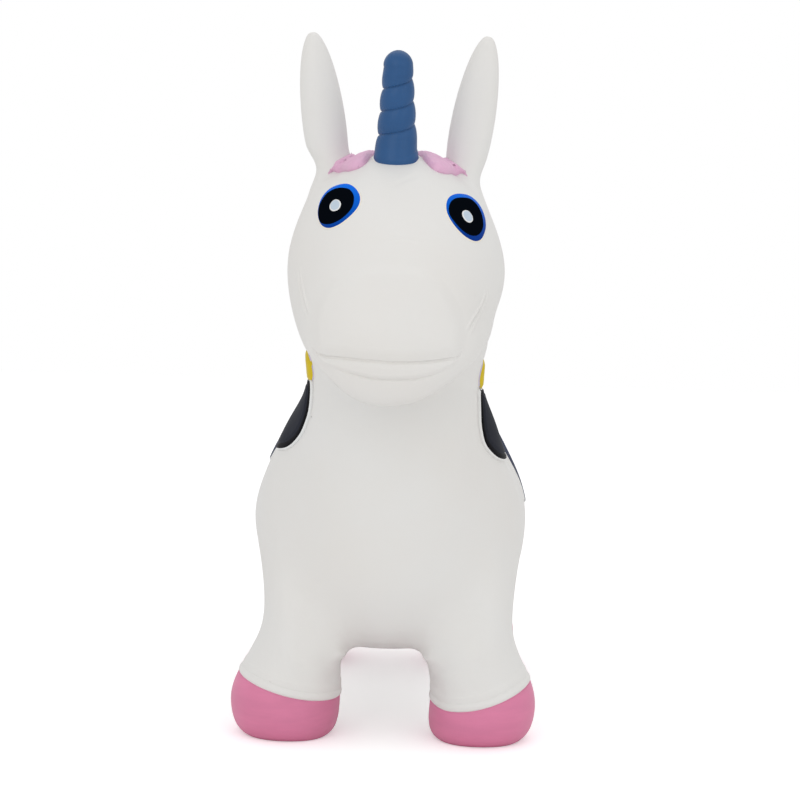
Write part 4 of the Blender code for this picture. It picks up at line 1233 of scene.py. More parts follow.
class SkinSettings(bpy.types.PropertyGroup):
    """Relief that the mould presses into the white skin"""
    muzzle_rise: length("Muzzle rise", "How far the bulb of the nose stands out", 0.0034)
    muzzle_edge: length("Muzzle edge", "How wide the soft edge of the nose is", 0.0110)
    lip_rise: length("Lip rise", "How far the lower lip stands out", 0.0022)
    lip_edge: length("Lip edge", "How wide the soft edge of the lip is", 0.0050)
    crease_width: length("Crease width", "Width of the line of the mouth", 0.0030)
    crease_depth: length("Crease depth", "Depth of the line of the mouth", 0.0016)
    smile_rise: length("Cheek ridge rise", "Height of the ridges beside the mouth", 0.0011)
    smile_width: length("Cheek ridge width", "Width of the ridges beside the mouth", 0.0080)
    seat_ring_rise: length("Horn ring rise", "Height of the ring round the foot of the horn", 0.0012)
    cuff_rise: length("Cuff rise", "Height of the bead over each hoof", 0.0014)


class HornSettings(bpy.types.PropertyGroup):
    """Spiral horn"""
    length: length("Length", "From the head to the tip", 0.0870)
    sink: length("Sink", "How deep the foot sits in the head", 0.0200)
    base_width: length("Base width", "Width of the foot", 0.0362)
    tip_width: length("Tip width", "Width below the round tip", 0.0225)
    pitch: length("Pitch", "Height of the lowest coil", 0.0206)
    pitch_loss: length("Pitch loss", "How much the coils get lower towards the tip", 0.0004)
    groove: length("Groove", "Depth of the groove between the coils", 0.0026)


class EyeSettings(bpy.types.PropertyGroup):
    """Painted eyes"""
    rise: length("Rise", "Height of the eyes over the skin", 0.0011)
    rim: length("Rim", "Width of the white line round the eye", 0.0012)


class SaddleSettings(bpy.types.PropertyGroup):
    """Moulded saddle"""
    blanket_rise: length("Blanket rise", "Height of the blanket over the skin", 0.0016)
    seat_rise: length("Seat rise", "Height of the seat over the skin", 0.0032)
    pommel_rise: length("Pommel rise", "Height of the pommel over the skin", 0.0042)
    # The lines are the white outer edges of blanket and seat: the bare raised edge with a painted highlight
    # on it
    line: length("Line", "Width of the painted lines", 0.0013)
    rim: length("Rim", "Width of the dark rim of the seat", 0.0048)


class HairSettings(bpy.types.PropertyGroup):
    """Moulded mane, forelock and tail"""
    mane_rise: length("Mane rise", "Height of the mane over the skin", 0.0072)
    forelock_rise: length("Forelock rise", "Height of the forelock over the skin", 0.0066)
    tail_rise: length("Tail rise", "Height of the tail over the skin", 0.0100)
    strand_depth: length("Strand depth", "Depth of the grooves between strands", 0.0011)
    locks: IntProperty(name="Locks", description="Number of locks along the mane", default=5, min=2)


class ValveSettings(bpy.types.PropertyGroup):
    """Air valve"""
    ribs: IntProperty(name="Ribs", description="Grip ribs round the plug", default=28, min=6)
    rib_width: length("Rib width", "Width of one grip rib", 0.0009)


class PaintSettings(bpy.types.PropertyGroup):
    """Colours of the toy"""
    skin: colour("Skin", "White vinyl", (0.770, 0.758, 0.735))
    hoof: colour("Hoof", "Pink vinyl of the hooves", (0.68, 0.208, 0.352))
    horn: colour("Horn", "Blue of the horn", (0.019, 0.081, 0.215))
    hair: colour("Hair", "Pale pink of mane, forelock and tail", (0.73, 0.43, 0.60))
    seat: colour("Seat", "Slate of the saddle", (0.025, 0.027, 0.036))
    seat_rim: colour("Seat rim", "Dark rim of the saddle", (0.007, 0.007, 0.009))
    blanket: colour("Blanket", "Navy of the blanket", (0.007, 0.016, 0.058))
    pommel: colour("Pommel", "Yellow of the pommel", (0.65, 0.49, 0.022))
    # A little brighter than the skin: on the saddle's edges it is the bare raised edge with a painted
    # highlight on it; it is also the printed ring of each glint
    line: colour("Line", "White of the painted lines", (0.80, 0.80, 0.79))
    cream: colour("Cream", "Cream line round the eyes", (0.86, 0.80, 0.69))
    lilac: colour("Lilac", "Pale lilac line of the pommel", (0.56, 0.50, 0.68))
    iris: colour("Iris top", "Blue at the top of the iris", (0.001, 0.155, 0.820))
    iris_low: colour("Iris foot", "Blue at the foot of the iris", (0.002, 0.038, 0.260))
    pupil: colour("Pupil", "Black of the pupil", (0.002, 0.003, 0.005))
    glint: colour("Glint", "Middle of the glint", (0.52, 0.61, 0.70))
    valve: colour("Valve", "White plastic of the valve", (0.78, 0.77, 0.75))


class StageSettings(bpy.types.PropertyGroup):
    """Floor, lights and camera"""
    floor: colour("Floor", "Colour of the floor", (0.95, 0.95, 0.95))
    floor_glow: FloatProperty(name="Floor glow", description="Light of the lit floor itself",
                              default=0.32)
    sky: FloatProperty(name="Sky", description="Brightness of the surroundings", default=0.77)
    key: FloatProperty(name="Key light", description="Power of the main light", default=5.6,
                       unit="POWER")
    lens: FloatProperty(name="Lens", description="Focal length in millimetres", default=96.9)


class RideOnSettings(bpy.types.PropertyGroup):
    """Bouncy ride-on unicorn"""
    skin: PointerProperty(type=SkinSettings)
    horn: PointerProperty(type=HornSettings)
    eyes: PointerProperty(type=EyeSettings)
    saddle: PointerProperty(type=SaddleSettings)
    hair: PointerProperty(type=HairSettings)
    valve: PointerProperty(type=ValveSettings)
    paint: PointerProperty(type=PaintSettings)
    stage: PointerProperty(type=StageSettings)


def toy():
    return bpy.context.scene.ride_on_toy


# Skin pieces


def dressed(obj, *materials):
    obj.data.materials.clear()
    for material in materials:
        obj.data.materials.append(material)
    return obj


class RIDEON_OT_skin(bpy.types.Operator):
    """Torso with neck, and head with muzzle"""
    bl_idname = "rideon.skin"
    bl_label = "Skin"

    def execute(self, context):
        white = finishes()["white"]
        trunk = zone("torso_and_neck_skin",
                     lambda p: (past_head_seam(p) < 0) & (over_leg(p) >= 0) & (past_ear_root(p) <= 0))
        ride(dressed(trunk, white), "white_vinyl", "torso_skin", "neck_skin")
        head = zone("head_and_muzzle_skin",
                    lambda p: (past_head_seam(p) > 0) & (past_ear_root(p) <= 0))
        ride(dressed(head, white), "white_vinyl", "head_skin", "muzzle")
        return {"FINISHED"}


class RIDEON_OT_ears(bpy.types.Operator):
    """Two ears that bend at their roots"""
    bl_idname = "rideon.ears"
    bl_label = "Ears"

    def execute(self, context):
        for name, side in (("left_ear", 1), ("right_ear", -1)):
            ear = zone(name + "_skin", lambda p: (past_ear_root(p) > 0) & (p[:, 0] * side > 0))
            dressed(ear, finishes()["white"])
            root, axis = ear_root(side), ear_axis(side)
            bend = root + axis * ((EAR_BEND_Z - EAR_ROOT_Z) / axis.z)
            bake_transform(ear, "body", name, start=tuple(root), end=tuple(bend))
            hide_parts(name)
        return {"FINISHED"}


class RIDEON_OT_legs(bpy.types.Operator):
    """Lower legs and pink hooves, which squash together"""
    bl_idname = "rideon.legs"
    bl_label = "Legs and hooves"

    def execute(self, context):
        for leg, placed in LEGS.items():
            frame = leg_frame(*placed)
            start, end = frame @ Vector((0, 0, LEG_TOP)), frame @ Vector((0, 0, SOLE_RISE))
            shank = zone(leg + "_leg_skin",
                         lambda p: (over_leg(p) < 0) & (over_hoof(p) >= 0) & near_leg(p, leg))
            hoof = zone(leg + "_hoof_skin", lambda p: (over_hoof(p) < 0) & near_leg(p, leg))
            for piece, node, paint, slot in ((shank, "_leg", "white", "white_vinyl"),
                                             (hoof, "_hoof", "pink", "pink_vinyl")):
                dressed(piece, finishes()[paint])
                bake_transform(piece, "body", leg + "_hoof", start=tuple(start), end=tuple(end))
                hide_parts(leg + node)
        return {"FINISHED"}


class RIDEON_OT_horn(bpy.types.Operator):
    """Spiral horn on the forehead"""
    bl_idname = "rideon.horn"
    bl_label = "Horn"

    def execute(self, context):
        size = toy().horn
        values = {"Length": size.length, "Sink": size.sink, "Base Radius": size.base_width / 2,
                  "Tip Radius": size.tip_width / 2, "Dome": HORN_DOME_SHARE,
                  "Low Pitch": size.pitch, "Pitch Loss": size.pitch_loss, "Groove": size.groove,
                  "Foot Fade": HORN_FOOT_FADE, "Foot Bulge": HORN_FOOT_BULGE, "Start": HORN_START,
                  "Turns": HORN_TURNS, "Rows Per Turn": HORN_ROWS, "Sides": HORN_SIDES,
                  "Material": finishes()["blue"]}
        horn = cleaned(made_by("spiral_horn", horn_tree(), values), horn_frame())
        ride(horn, "blue_vinyl", "horn")
        return {"FINISHED"}


# Eyes: outlines in millimetres on the plane that touches the face at the eye's middle

EYES = {
    "right_eye": {
        "centre": (-0.0456, -0.1965, 0.4577), "facing": (-0.444, -0.574, 0.688),
        "iris": ((-5.7, 23.7), (3.7, 20.7), (12.1, 15.0), (17.8, 8.6), (20.9, 0.9), (20.8, -7.2),
                 (18.1, -15.6), (13.4, -22.2), (6.3, -25.3), (-1.6, -23.5), (-9.4, -17.5),
                 (-16.0, -9.0), (-20.8, 0.8), (-23.1, 10.1), (-21.3, 18.1), (-15.2, 22.4)),
        "pupil": ((-3.3, 17.8), (3.6, 16.2), (10.2, 11.2), (14.8, 4.5), (17.2, -3.2), (16.5, -10.4),
                  (13.3, -17.0), (7.2, -21.5), (0.0, -22.1), (-7.3, -19.1), (-13.4, -12.2),
                  (-17.7, -4.3), (-19.7, 3.7), (-19.1, 11.8), (-14.7, 16.2), (-9.4, 17.9)),
        "glint": ((-0.7, 3.4), (4.3, 0.5), (6.6, -4.0), (6.0, -7.9), (1.7, -9.4), (-3.2, -6.8),
                  (-5.6, -2.2), (-4.7, 2.5)),
    },
    "left_eye": {
        "centre": (0.0598, -0.1890, 0.4512), "facing": (0.613, -0.502, 0.610),
        "iris": ((9.8, 22.4), (19.6, 21.6), (25.9, 17.4), (27.5, 10.4), (24.3, 0.7), (17.0, -9.8),
                 (7.6, -18.6), (-0.8, -24.0), (-8.3, -25.5), (-14.8, -23.1), (-19.4, -18.3),
                 (-22.2, -11.2), (-22.9, -2.7), (-20.9, 5.8), (-15.3, 13.9), (-8.0, 19.2),
                 (0.9, 21.8)),
        "pupil": ((6.4, 17.6), (16.0, 16.8), (20.9, 11.3), (19.8, 2.7), (15.0, -6.2), (9.1, -13.4),
                  (1.3, -18.9), (-6.7, -21.2), (-14.2, -19.3), (-19.0, -13.6), (-21.1, -5.8),
                  (-21.1, 1.4), (-17.6, 8.2), (-10.9, 14.1), (-3.1, 17.0)),
        "glint": ((-3.7, 3.5), (0.8, 2.5), (1.9, -2.4), (-0.9, -7.2), (-5.4, -9.1), (-9.1, -7.6),
                  (-10.2, -3.4), (-8.1, 1.3)),
    },
}


def seen_along(centre, facing, outline):
    """Depth inside an outline drawn on a plane that touches the skin."""
    turn = Vector(facing).to_track_quat("Z", "Y").to_matrix().to_4x4()
    frame = Matrix.Translation(centre) @ turn
    line = rounded_line(outline, closed=True) * MILLIMETRE

    def depth_of(points, ups):
        place = local(points, frame)
        near = np.abs(place[:, 2]) < PLANE_REACH
        return np.where(near, inside_depth(place[:, :2], line), -FAR)
    return depth_of


# Edges of the eyes' layers: depths inside their outlines, and heights over the skin
IRIS_DEPTHS, IRIS_SHARES, IRIS_TUCK, LINE_SHARE = (0, 0.0008, 0.0025), (0.45, 0.6, 0.8, 1), 0.0004, 0.6
PUPIL_DEPTHS, PUPIL_LIFTS, PUPIL_SHARE = (0, 0.0004, 0.003), (0.0002, 0.0005), 0.5
GLINT_DEPTHS, GLINT_LIFTS = (0, 0.0003, 0.0012, 0.0024), (0, 0.0007, 0.0009, 0.0010)


class RIDEON_OT_eyes(bpy.types.Operator):
    """Painted eyes: iris with its white line, pupil, glint"""
    bl_idname = "rideon.eyes"
    bl_label = "Eyes"

    def execute(self, context):
        paint, size = finishes(), toy().eyes
        for name, eye in EYES.items():
            def at(part):
                return seen_along(eye["centre"], eye["facing"], eye[part])
            rim, rise = -size.rim, size.rise
            iris = relief(name + "_iris_paint", at("iris"), (rim, rim * LINE_SHARE, *IRIS_DEPTHS),
                          rising(rise, *IRIS_SHARES, tuck=IRIS_TUCK),
                          ((rim, paint["cream"]), (0, paint["iris"])), levels=FINE_LEVELS)
            ride(iris, "iris_paint", name + "_iris")
            pupil = relief(name + "_pupil_paint", at("pupil"), PUPIL_DEPTHS,
                           (rise * PUPIL_SHARE, *(rise + lift for lift in PUPIL_LIFTS)),
                           ((0, paint["pupil"]),), levels=FINE_LEVELS)
            ride(pupil, "pupil_paint", name + "_pupil")
            glint = relief(name + "_glint_paint", at("glint"), GLINT_DEPTHS,
                           [rise + lift for lift in GLINT_LIFTS],
                           ((0, paint["glint"]), (GLINT_DEPTHS[2], paint["glint_core"])),
                           levels=FINE_LEVELS)
            ride(glint, "glint_paint", name + "_glint")
        return {"FINISHED"}


# Saddle: outlines in the side view, y and z in metres

SEAT_EDGE = ((-0.1199, 0.3070), (-0.1240, 0.2950), (-0.1270, 0.2820), (-0.1262, 0.2720),
             (-0.1220, 0.2615), (-0.1135, 0.2530), (-0.1030, 0.2465), (-0.0905, 0.2430),
             (-0.0740, 0.2410), (-0.0500, 0.2380), (-0.0200, 0.2345), (0.0100, 0.2320),
             (0.0450, 0.2305), (0.0740, 0.2320), (0.0920, 0.2400), (0.1000, 0.2560),
             (0.1030, 0.2860), (0.1035, 0.3200), (0.0950, 0.3480), (0.0500, 0.3520),
             (0.0000, 0.3500), (-0.0250, 0.3370), (-0.0500, 0.3225), (-0.0700, 0.3130),
             (-0.0850, 0.3090), (-0.1000, 0.3080), (-0.1150, 0.3080))
POMMEL_EDGE = ((-0.1290, 0.3075), (-0.1310, 0.3150), (-0.1300, 0.3240), (-0.1230, 0.3310),
               (-0.1080, 0.3370), (-0.0800, 0.3480), (-0.0560, 0.3580), (-0.0360, 0.3670),
               (-0.0150, 0.3700), (-0.0080, 0.3600), (-0.0150, 0.3420), (-0.0330, 0.3270),
               (-0.0520, 0.3170), (-0.0700, 0.3090), (-0.0850, 0.3055), (-0.1000, 0.3045),
               (-0.1150, 0.3050))
BLANKET_TOP = ((0.1395, 0.2700), (0.1390, 0.3100), (0.1250, 0.3400), (0.0900, 0.3450),
               (0.0780, 0.3400), (0.0780, 0.3000))
BLANKET_SIDES = {
    "left": ((0.0770, 0.2450), (0.0680, 0.2240), (0.0540, 0.2090), (0.0380, 0.1975),
             (0.0240, 0.1890), (0.0280, 0.1845), (0.0500, 0.1830), (0.0850, 0.1835),
             (0.1160, 0.1875), (0.1320, 0.1990), (0.1385, 0.2200)),
    "right": ((0.0790, 0.2460), (0.0720, 0.2300), (0.0660, 0.2190), (0.0690, 0.2125),
              (0.0800, 0.2100), (0.1000, 0.2095), (0.1180, 0.2110), (0.1320, 0.2180),
              (0.1385, 0.2350)),
}
SEAT_MOVES = {"left": (-0.0030, -0.0045), "right": (-0.0115, 0.0005)}
POMMEL_MOVES = {"left": (0.0120, -0.0040), "right": (-0.0025, 0.0000)}
# Edges of the saddle's pieces: depths inside their outlines, and heights in shares of their rise
EDGE_START, EDGE_END = 0.0005, 0.0030
BLANKET_SHARES, SEAT_SHARES, SEAT_BACK = (0.6, 0.8, 1), (0.55, 0.8, 1, 1), 0.0030
CREASE_WIDTH, CREASE_END, CREASE_DROP, CROWN = 0.0012, 0.0030, 0.0005, 0.0006
POMMEL_DEPTHS, POMMEL_SHARES = (0.0040, 0.0080, 0.0140), (0.20, 0.5, 0.85, 1, 1.04)
LILAC_WIDTH, POMMEL_BACK = 0.0006, 0.0050


class RIDEON_OT_saddle(bpy.types.Operator):
    """Blanket, seat with its flaps, and pommel"""
    bl_idname = "rideon.saddle"
    bl_label = "Saddle"

    def execute(self, context):
        paint, size = finishes(), toy().saddle
        # The white line along the outer edge of blanket and seat covers the bare rising edge of the relief,
        # with a painted highlight on it
        line, crease = size.line, size.rim + CREASE_WIDTH
        under_seat = by_side(*(seen_from_side(BLANKET_TOP + BLANKET_SIDES[side])
                               for side in ("left", "right")))
        blanket = relief("blanket_relief", under_seat, (0, EDGE_START, line, EDGE_END),
                         rising(size.blanket_rise, *BLANKET_SHARES),
                         ((0, paint["line"]), (line, paint["navy"])))
        ride(blanket, "navy_paint", "saddle_blanket")
        rise = size.seat_rise
        seat = relief("seat_relief", seen_from_side(SEAT_EDGE, **SEAT_MOVES),
                      (0, EDGE_START, line, EDGE_END, size.rim, crease, size.rim + CREASE_END),
                      (*rising(rise, *SEAT_SHARES), rise - CREASE_DROP, rise + CROWN),
                      ((0, paint["line"]), (line, paint["rim"]), (crease, paint["seat"])),
                      back=SEAT_BACK)
        ride(seat, "black_paint", "saddle_seat")
        pommel = relief("pommel_relief", seen_from_side(POMMEL_EDGE, **POMMEL_MOVES),
                        (0, LILAC_WIDTH, line, *POMMEL_DEPTHS),
                        rising(size.pommel_rise, *POMMEL_SHARES),
                        ((0, paint["lilac"]), (LILAC_WIDTH, paint["yellow"])), back=POMMEL_BACK)
        ride(pommel, "yellow_paint", "saddle_pommel")
        return {"FINISHED"}


# Mane, forelock and tail

# Tufts seen from above, in x and y, and how high they reach over the distance from the middle
FORELOCKS = {
    "forelock_right": ((-0.0575, -0.1265), (-0.0520, -0.1262), (-0.0470, -0.1330), (-0.0420, -0.1475),
                       (-0.0384, -0.1550), (-0.0330, -0.1592), (-0.0285, -0.1592), (-0.0241, -0.1546),
                       (-0.0215, -0.1440), (-0.0205, -0.1340), (-0.0160, -0.1235), (-0.0135, -0.1120),
                       (-0.0180, -0.1035), (-0.0280, -0.1000), (-0.0400, -0.1070), (-0.0446, -0.1150),
                       (-0.0500, -0.1205), (-0.0545, -0.1240)),
    "forelock_left": ((0.0597, -0.1251), (0.0530, -0.1255), (0.0485, -0.1340), (0.0437, -0.1500),
                      (0.0400, -0.1565), (0.0348, -0.1606), (0.0295, -0.1595), (0.0250, -0.1530),
                      (0.0220, -0.1445), (0.0208, -0.1340), (0.0160, -0.1235), (0.0135, -0.1120),
                      (0.0180, -0.1035), (0.0280, -0.1000), (0.0405, -0.1070), (0.0459, -0.1150),
                      (0.0516, -0.1200), (0.0565, -0.1230)),
}
FORELOCK_TOP = ((0.0190, 0.5070), (0.0290, 0.5045), (0.0390, 0.4995), (0.0506, 0.4925),
                (0.0590, 0.4850))
# Tail seen from behind, in x and z
TAIL_EDGE = ((0.0000, 0.2720), (-0.0085, 0.2690), (-0.0100, 0.2560), (-0.0120, 0.2400),
             (-0.0180, 0.2200), (-0.0235, 0.1990), (-0.0245, 0.1780), (-0.0200, 0.1580),
             (-0.0110, 0.1400), (0.0000, 0.1290), (0.0050, 0.1390), (0.0140, 0.1460),
             (0.0215, 0.1620), (0.0245, 0.1820), (0.0225, 0.2040), (0.0165, 0.2240),
             (0.0115, 0.2420), (0.0100, 0.2570), (0.0085, 0.2690))
# Mane: its foot, bend and front on the head, in shares
MANE_SHARES = ((0.955, 0.33), (0.82, 0.50), (0.865, 0.98))
# Locks of the mane: its widths and their powers, taper and stagger in shares, step and slant
MANE_WIDTH, MANE_BACK, MANE_TOP, MANE_MARGIN = 0.046, 0.05, 0.62, 0.02
LOCK_POINTS, LOCK_SHARES, LOCK_POWERS = 8, (0.72, 0.30), (0.7, 6)
MANE_TAPER_SHARE, LOCK_STAGGER_SHARE = 0.45, 0.12
LOCK_STEP, LOCK_STEP_SHARE, LOCK_SLANT = 0.0022, 0.55, 0.45
# Strands: how many lie across, how they sway, and where they fade at the edges
MANE_STRANDS, MANE_SWAY, MANE_SWAY_TURNS, MANE_FADE = 2.6, 0.18, 4.0, (0.0015, 0.006)
TUFT_STRAND, TUFT_FAN, TUFT_PHASE, TUFT_SHARPNESS, TUFT_FADE = 0.0080, 4, 0.25, 0.8, (0.001, 0.004)
TAIL_STRANDS, TAIL_DEPTH_SHARE, TAIL_FADE = 1.8, 1.5, (0.001, 0.006)
TAIL_SWAY, TAIL_SWAY_TURNS, TAIL_SWAY_TOP, TAIL_FRONT = 0.25, 38, 0.27, 0.10
TAIL_HEIGHTS, TAIL_HALVES = (0.13, 0.18, 0.26), (0.010, 0.0245, 0.010)
# Edges of the hair: depths inside the outlines, and heights in shares of the rise
MANE_DEPTHS, TAIL_DEPTHS = (0, 0.0012, 0.0035, 0.0070), (0, 0.0015, 0.0050, 0.0100)
HAIR_SHARES, TUFT_SHARES, TUFT_TUCK = (0.5, 0.85, 1), (0.35, 0.68, 0.90, 1), 0.0005
TUFT_DEPTHS = (0, 0.0006, 0.0020, 0.0045, 0.0080)
HAIR_BACK, TUFT_BACK = 0.0040, 0.0020
# Corner of a tuft's outline at its root; tufts lie where the skin looks up and above a height
TUFT_ROOT, UPWARDS, TUFT_FOOT = 9, 0.05, 0.45


def seen_from_above(outline, top_line):
    """Depth inside an outline of x and y, and under a line of heights over the distance from the middle."""
    line = rounded_line(outline, closed=True)
    outwards, heights = np.array(top_line).T

    def depth_of(points, ups):
        under = np.interp(np.abs(points[:, 0]), outwards, heights) - points[:, 2]
        above = (ups[:, 2] > UPWARDS) & (points[:, 2] > TUFT_FOOT)
        return np.where(above, np.minimum(inside_depth(points[:, :2], line), under), -FAR)
    return depth_of


def grooves(phase, sharpness=0.6):
    """0 in grooves at each whole number of a phase, up to 1 between them."""
    return np.abs(np.sin(np.pi * phase)) ** sharpness


def lock_height(locks):
    """Height of one lock, and the height where the lowest starts."""
    foot = head_point(*MANE_SHARES[0]).z
    return (HEAD_HEIGHT + MANE_WIDTH + CHIN_Z - foot) / locks, foot


def mane_outline(locks):
    """Outline from behind: each lock widens upwards and steps in again."""
    lock, foot = lock_height(locks)
    (base, flare), (widening, closing) = LOCK_SHARES, LOCK_POWERS
    edge = []
    for n in range(locks * LOCK_POINTS + 1):
        place = n / LOCK_POINTS
        share = place % 1
        taper = 1 - MANE_TAPER_SHARE * (1 - place / locks) ** 2
        width = base + flare * share ** widening - flare * share ** closing
        edge.append((MANE_WIDTH / 2 * taper * width, foot + lock * place))
    return edge + [(-x, z - lock * LOCK_STAGGER_SHARE) for x, z in reversed(edge)]


def mane_depth_of(locks):
    """Depth inside the mane's outline, seen from behind and from the side."""
    low, turn, front = (head_point(*share) for share in MANE_SHARES)
    outline = np.array(mane_outline(locks))
    foot = low.z - MANE_MARGIN
    side = np.array([(low.y, foot), (MANE_BACK, foot), (MANE_BACK, MANE_TOP), (front.y, MANE_TOP),
                     (front.y, front.z), (turn.y, turn.z)])

    def depth_of(points, ups):
        return np.minimum(inside_depth(points[:, ::2], outline), inside_depth(points[:, 1:], side))
    return depth_of


def mane_strands(points, depth):
    """Grooves of the mane, and the steps between its locks."""
    lock, foot = lock_height(toy().hair.locks)
    along, across = (points[:, 2] - foot) / lock, points[:, 0] / (MANE_WIDTH / 2)
    fine = 1 - grooves(across * MANE_STRANDS + 0.5 + MANE_SWAY * np.sin(along * MANE_SWAY_TURNS))
    step = 1 - eased((along - LOCK_SLANT * np.abs(across)) % 1, 0, LOCK_STEP_SHARE)
    return -(toy().hair.strand_depth * fine + LOCK_STEP * step) * eased(depth, *MANE_FADE)


def tuft_strands(edge):
    """Grooves of a tuft that run from its tip to its root."""
    tip, root = np.array(edge[0]), np.array(edge[TUFT_ROOT])
    way = (root - tip) / np.linalg.norm(root - tip)

    def shape(points, depth):
        flat = points[:, :2] - tip
        off, along = flat @ np.array((-way[1], way[0])), flat @ way
        fine = 1 - grooves(off / TUFT_STRAND + TUFT_PHASE + along * TUFT_FAN, TUFT_SHARPNESS)
        return -toy().hair.strand_depth * fine * eased(depth, *TUFT_FADE)
    return shape


def tail_strands(points, depth):
    """Grooves of the tail, closer together where it is narrow."""
    x, _, z = points.T
    sway = TAIL_SWAY * np.sin((TAIL_SWAY_TOP - z) * TAIL_SWAY_TURNS)
    fine = 1 - grooves((x / np.interp(z, TAIL_HEIGHTS, TAIL_HALVES) + sway) * TAIL_STRANDS + 0.5)
    return -toy().hair.strand_depth * TAIL_DEPTH_SHARE * fine * eased(depth, *TAIL_FADE)


class RIDEON_OT_hair(bpy.types.Operator):
    """Mane, both tufts of the forelock, and tail"""
    bl_idname = "rideon.hair"
    bl_label = "Hair"

    def execute(self, context):
        size, paints = toy().hair, ((0, finishes()["hair"]),)
        mane = relief("mane_relief", mane_depth_of(size.locks), MANE_DEPTHS,
                      rising(size.mane_rise, *HAIR_SHARES), paints, HAIR_BACK, mane_strands,
                      FINE_LEVELS)
        ride(mane, "pale_pink_paint", "mane")
        for name, edge in FORELOCKS.items():
            tuft = relief(name + "_relief", seen_from_above(edge, FORELOCK_TOP), TUFT_DEPTHS,
                          rising(size.forelock_rise, *TUFT_SHARES, tuck=TUFT_TUCK), paints,
                          TUFT_BACK, tuft_strands(edge), FINE_LEVELS)
            ride(tuft, "pale_pink_paint", name)
        tail = relief("tail_relief", seen_from_behind(TAIL_EDGE, TAIL_FRONT), TAIL_DEPTHS,
                      rising(size.tail_rise, *HAIR_SHARES), paints, HAIR_BACK, tail_strands,
                      FINE_LEVELS)
        ride(tail, "pale_pink_paint", "tail")
        return {"FINISHED"}


# Air valve

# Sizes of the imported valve, in metres
VALVE_BORE, VALVE_TUBE, VALVE_FLANGE, VALVE_DEPTH = 0.009, 0.016, 0.030, 0.015
FLANGE_THICKNESS, PLUG_HEAD, PLUG_HEAD_THICKNESS, PLUG_SHANK = 0.002, 0.020, 0.0025, 0.011
VALVE_PLACE_SHARE, CLEARANCE = 0.47, 0.0003
TURN_SIDES = 96
# Groove round the flange, from its rim inwards; the plug's point and hollow in shares, and roundings
FLANGE_GROOVE, GROOVE_DEPTH, FLANGE_ROUND = (0.0018, 0.0024, 0.0032, 0.0038), 0.0005, 0.0005
POINT_SHARES, HOLLOW_SHARES, HOLLOW_DEPTH, PLUG_ROUND = (0.8, 0.86), (0.62, 0.55), 0.0007, 0.0006
RIB_HEIGHT_SHARE, CORNER_SHARE, CORNER_STEPS = 0.7, 0.45, 4


def turned(name, profile, frame):
    """A closed profile of (radius, height) turned about the Z of a frame."""
    bm = bmesh.new()
    verts = [bm.verts.new((radius, 0, height)) for radius, height in profile]
    edges = [bm.edges.new(pair) for pair in zip(verts, verts[1:])]
    if profile[0][0] > 0:
        edges.append(bm.edges.new((verts[-1], verts[0])))
    bmesh.ops.spin(bm, geom=verts + edges, axis=(0, 0, 1), cent=(0, 0, 0), steps=TURN_SIDES,
                   angle=2 * math.pi, use_merge=True)
    mesh = put_back(bm, bpy.data.meshes.new(name))
    obj = cleaned(add(name, mesh), frame)
    obj.data.set_sharp_from_angle(angle=SHARP_ANGLE)
    return obj


def softened(profile, radius):
    """The profile with each corner off the axis rounded."""
    line = []
    count = len(profile)
    closed = profile[0][0] > 0
    for n, corner in enumerate(profile):
        here = np.array(corner)
        if corner[0] == 0 or (not closed and n in (0, count - 1)):
            line.append(tuple(here))
            continue
        sides = [np.array(profile[m % count]) - here for m in (n - 1, n + 1)]
        lengths = [np.linalg.norm(side) for side in sides]
        reach = min(radius, *(CORNER_SHARE * size for size in lengths))
        start, end = (here + side / size * reach for side, size in zip(sides, lengths))
        for share in np.arange(CORNER_STEPS + 1) / CORNER_STEPS:
            line.append(tuple((1 - share) ** 2 * start + 2 * share * (1 - share) * here
                              + share ** 2 * end))
    return line


def rib_tree():
    """Small ribs on a ring, each turned outwards."""
    t = NodeTree("grip_ribs", {"Radius": "NodeSocketFloat", "Ribs": "NodeSocketInt",
                               "Rib Width": "NodeSocketFloat", "Rib Height": "NodeSocketFloat",
                               "Material": "NodeSocketMaterial"})
    get = t.source
    ring = t.node("GeometryNodeMeshCircle", get["Ribs"], get["Radius"]).outputs[0]
    size = t.node("ShaderNodeCombineXYZ", get["Rib Width"], get["Rib Width"],
                  get["Rib Height"]).outputs[0]
    rib = t.node("GeometryNodeMeshCube", size, 3, 3, 2).outputs[0]
    place = t.node("ShaderNodeSeparateXYZ", t.node("GeometryNodeInputPosition").outputs[0]).outputs
    angle = t.node("ShaderNodeMath", place["Y"], place["X"], operation="ARCTAN2").outputs[0]
    turn = t.node("ShaderNodeCombineXYZ", 0.0, 0.0, angle).outputs[0]
    copies = t.node("GeometryNodeInstanceOnPoints", ring,
                    named={"Instance": rib, "Rotation": turn}).outputs[0]
    t.finish(copies)
    return t


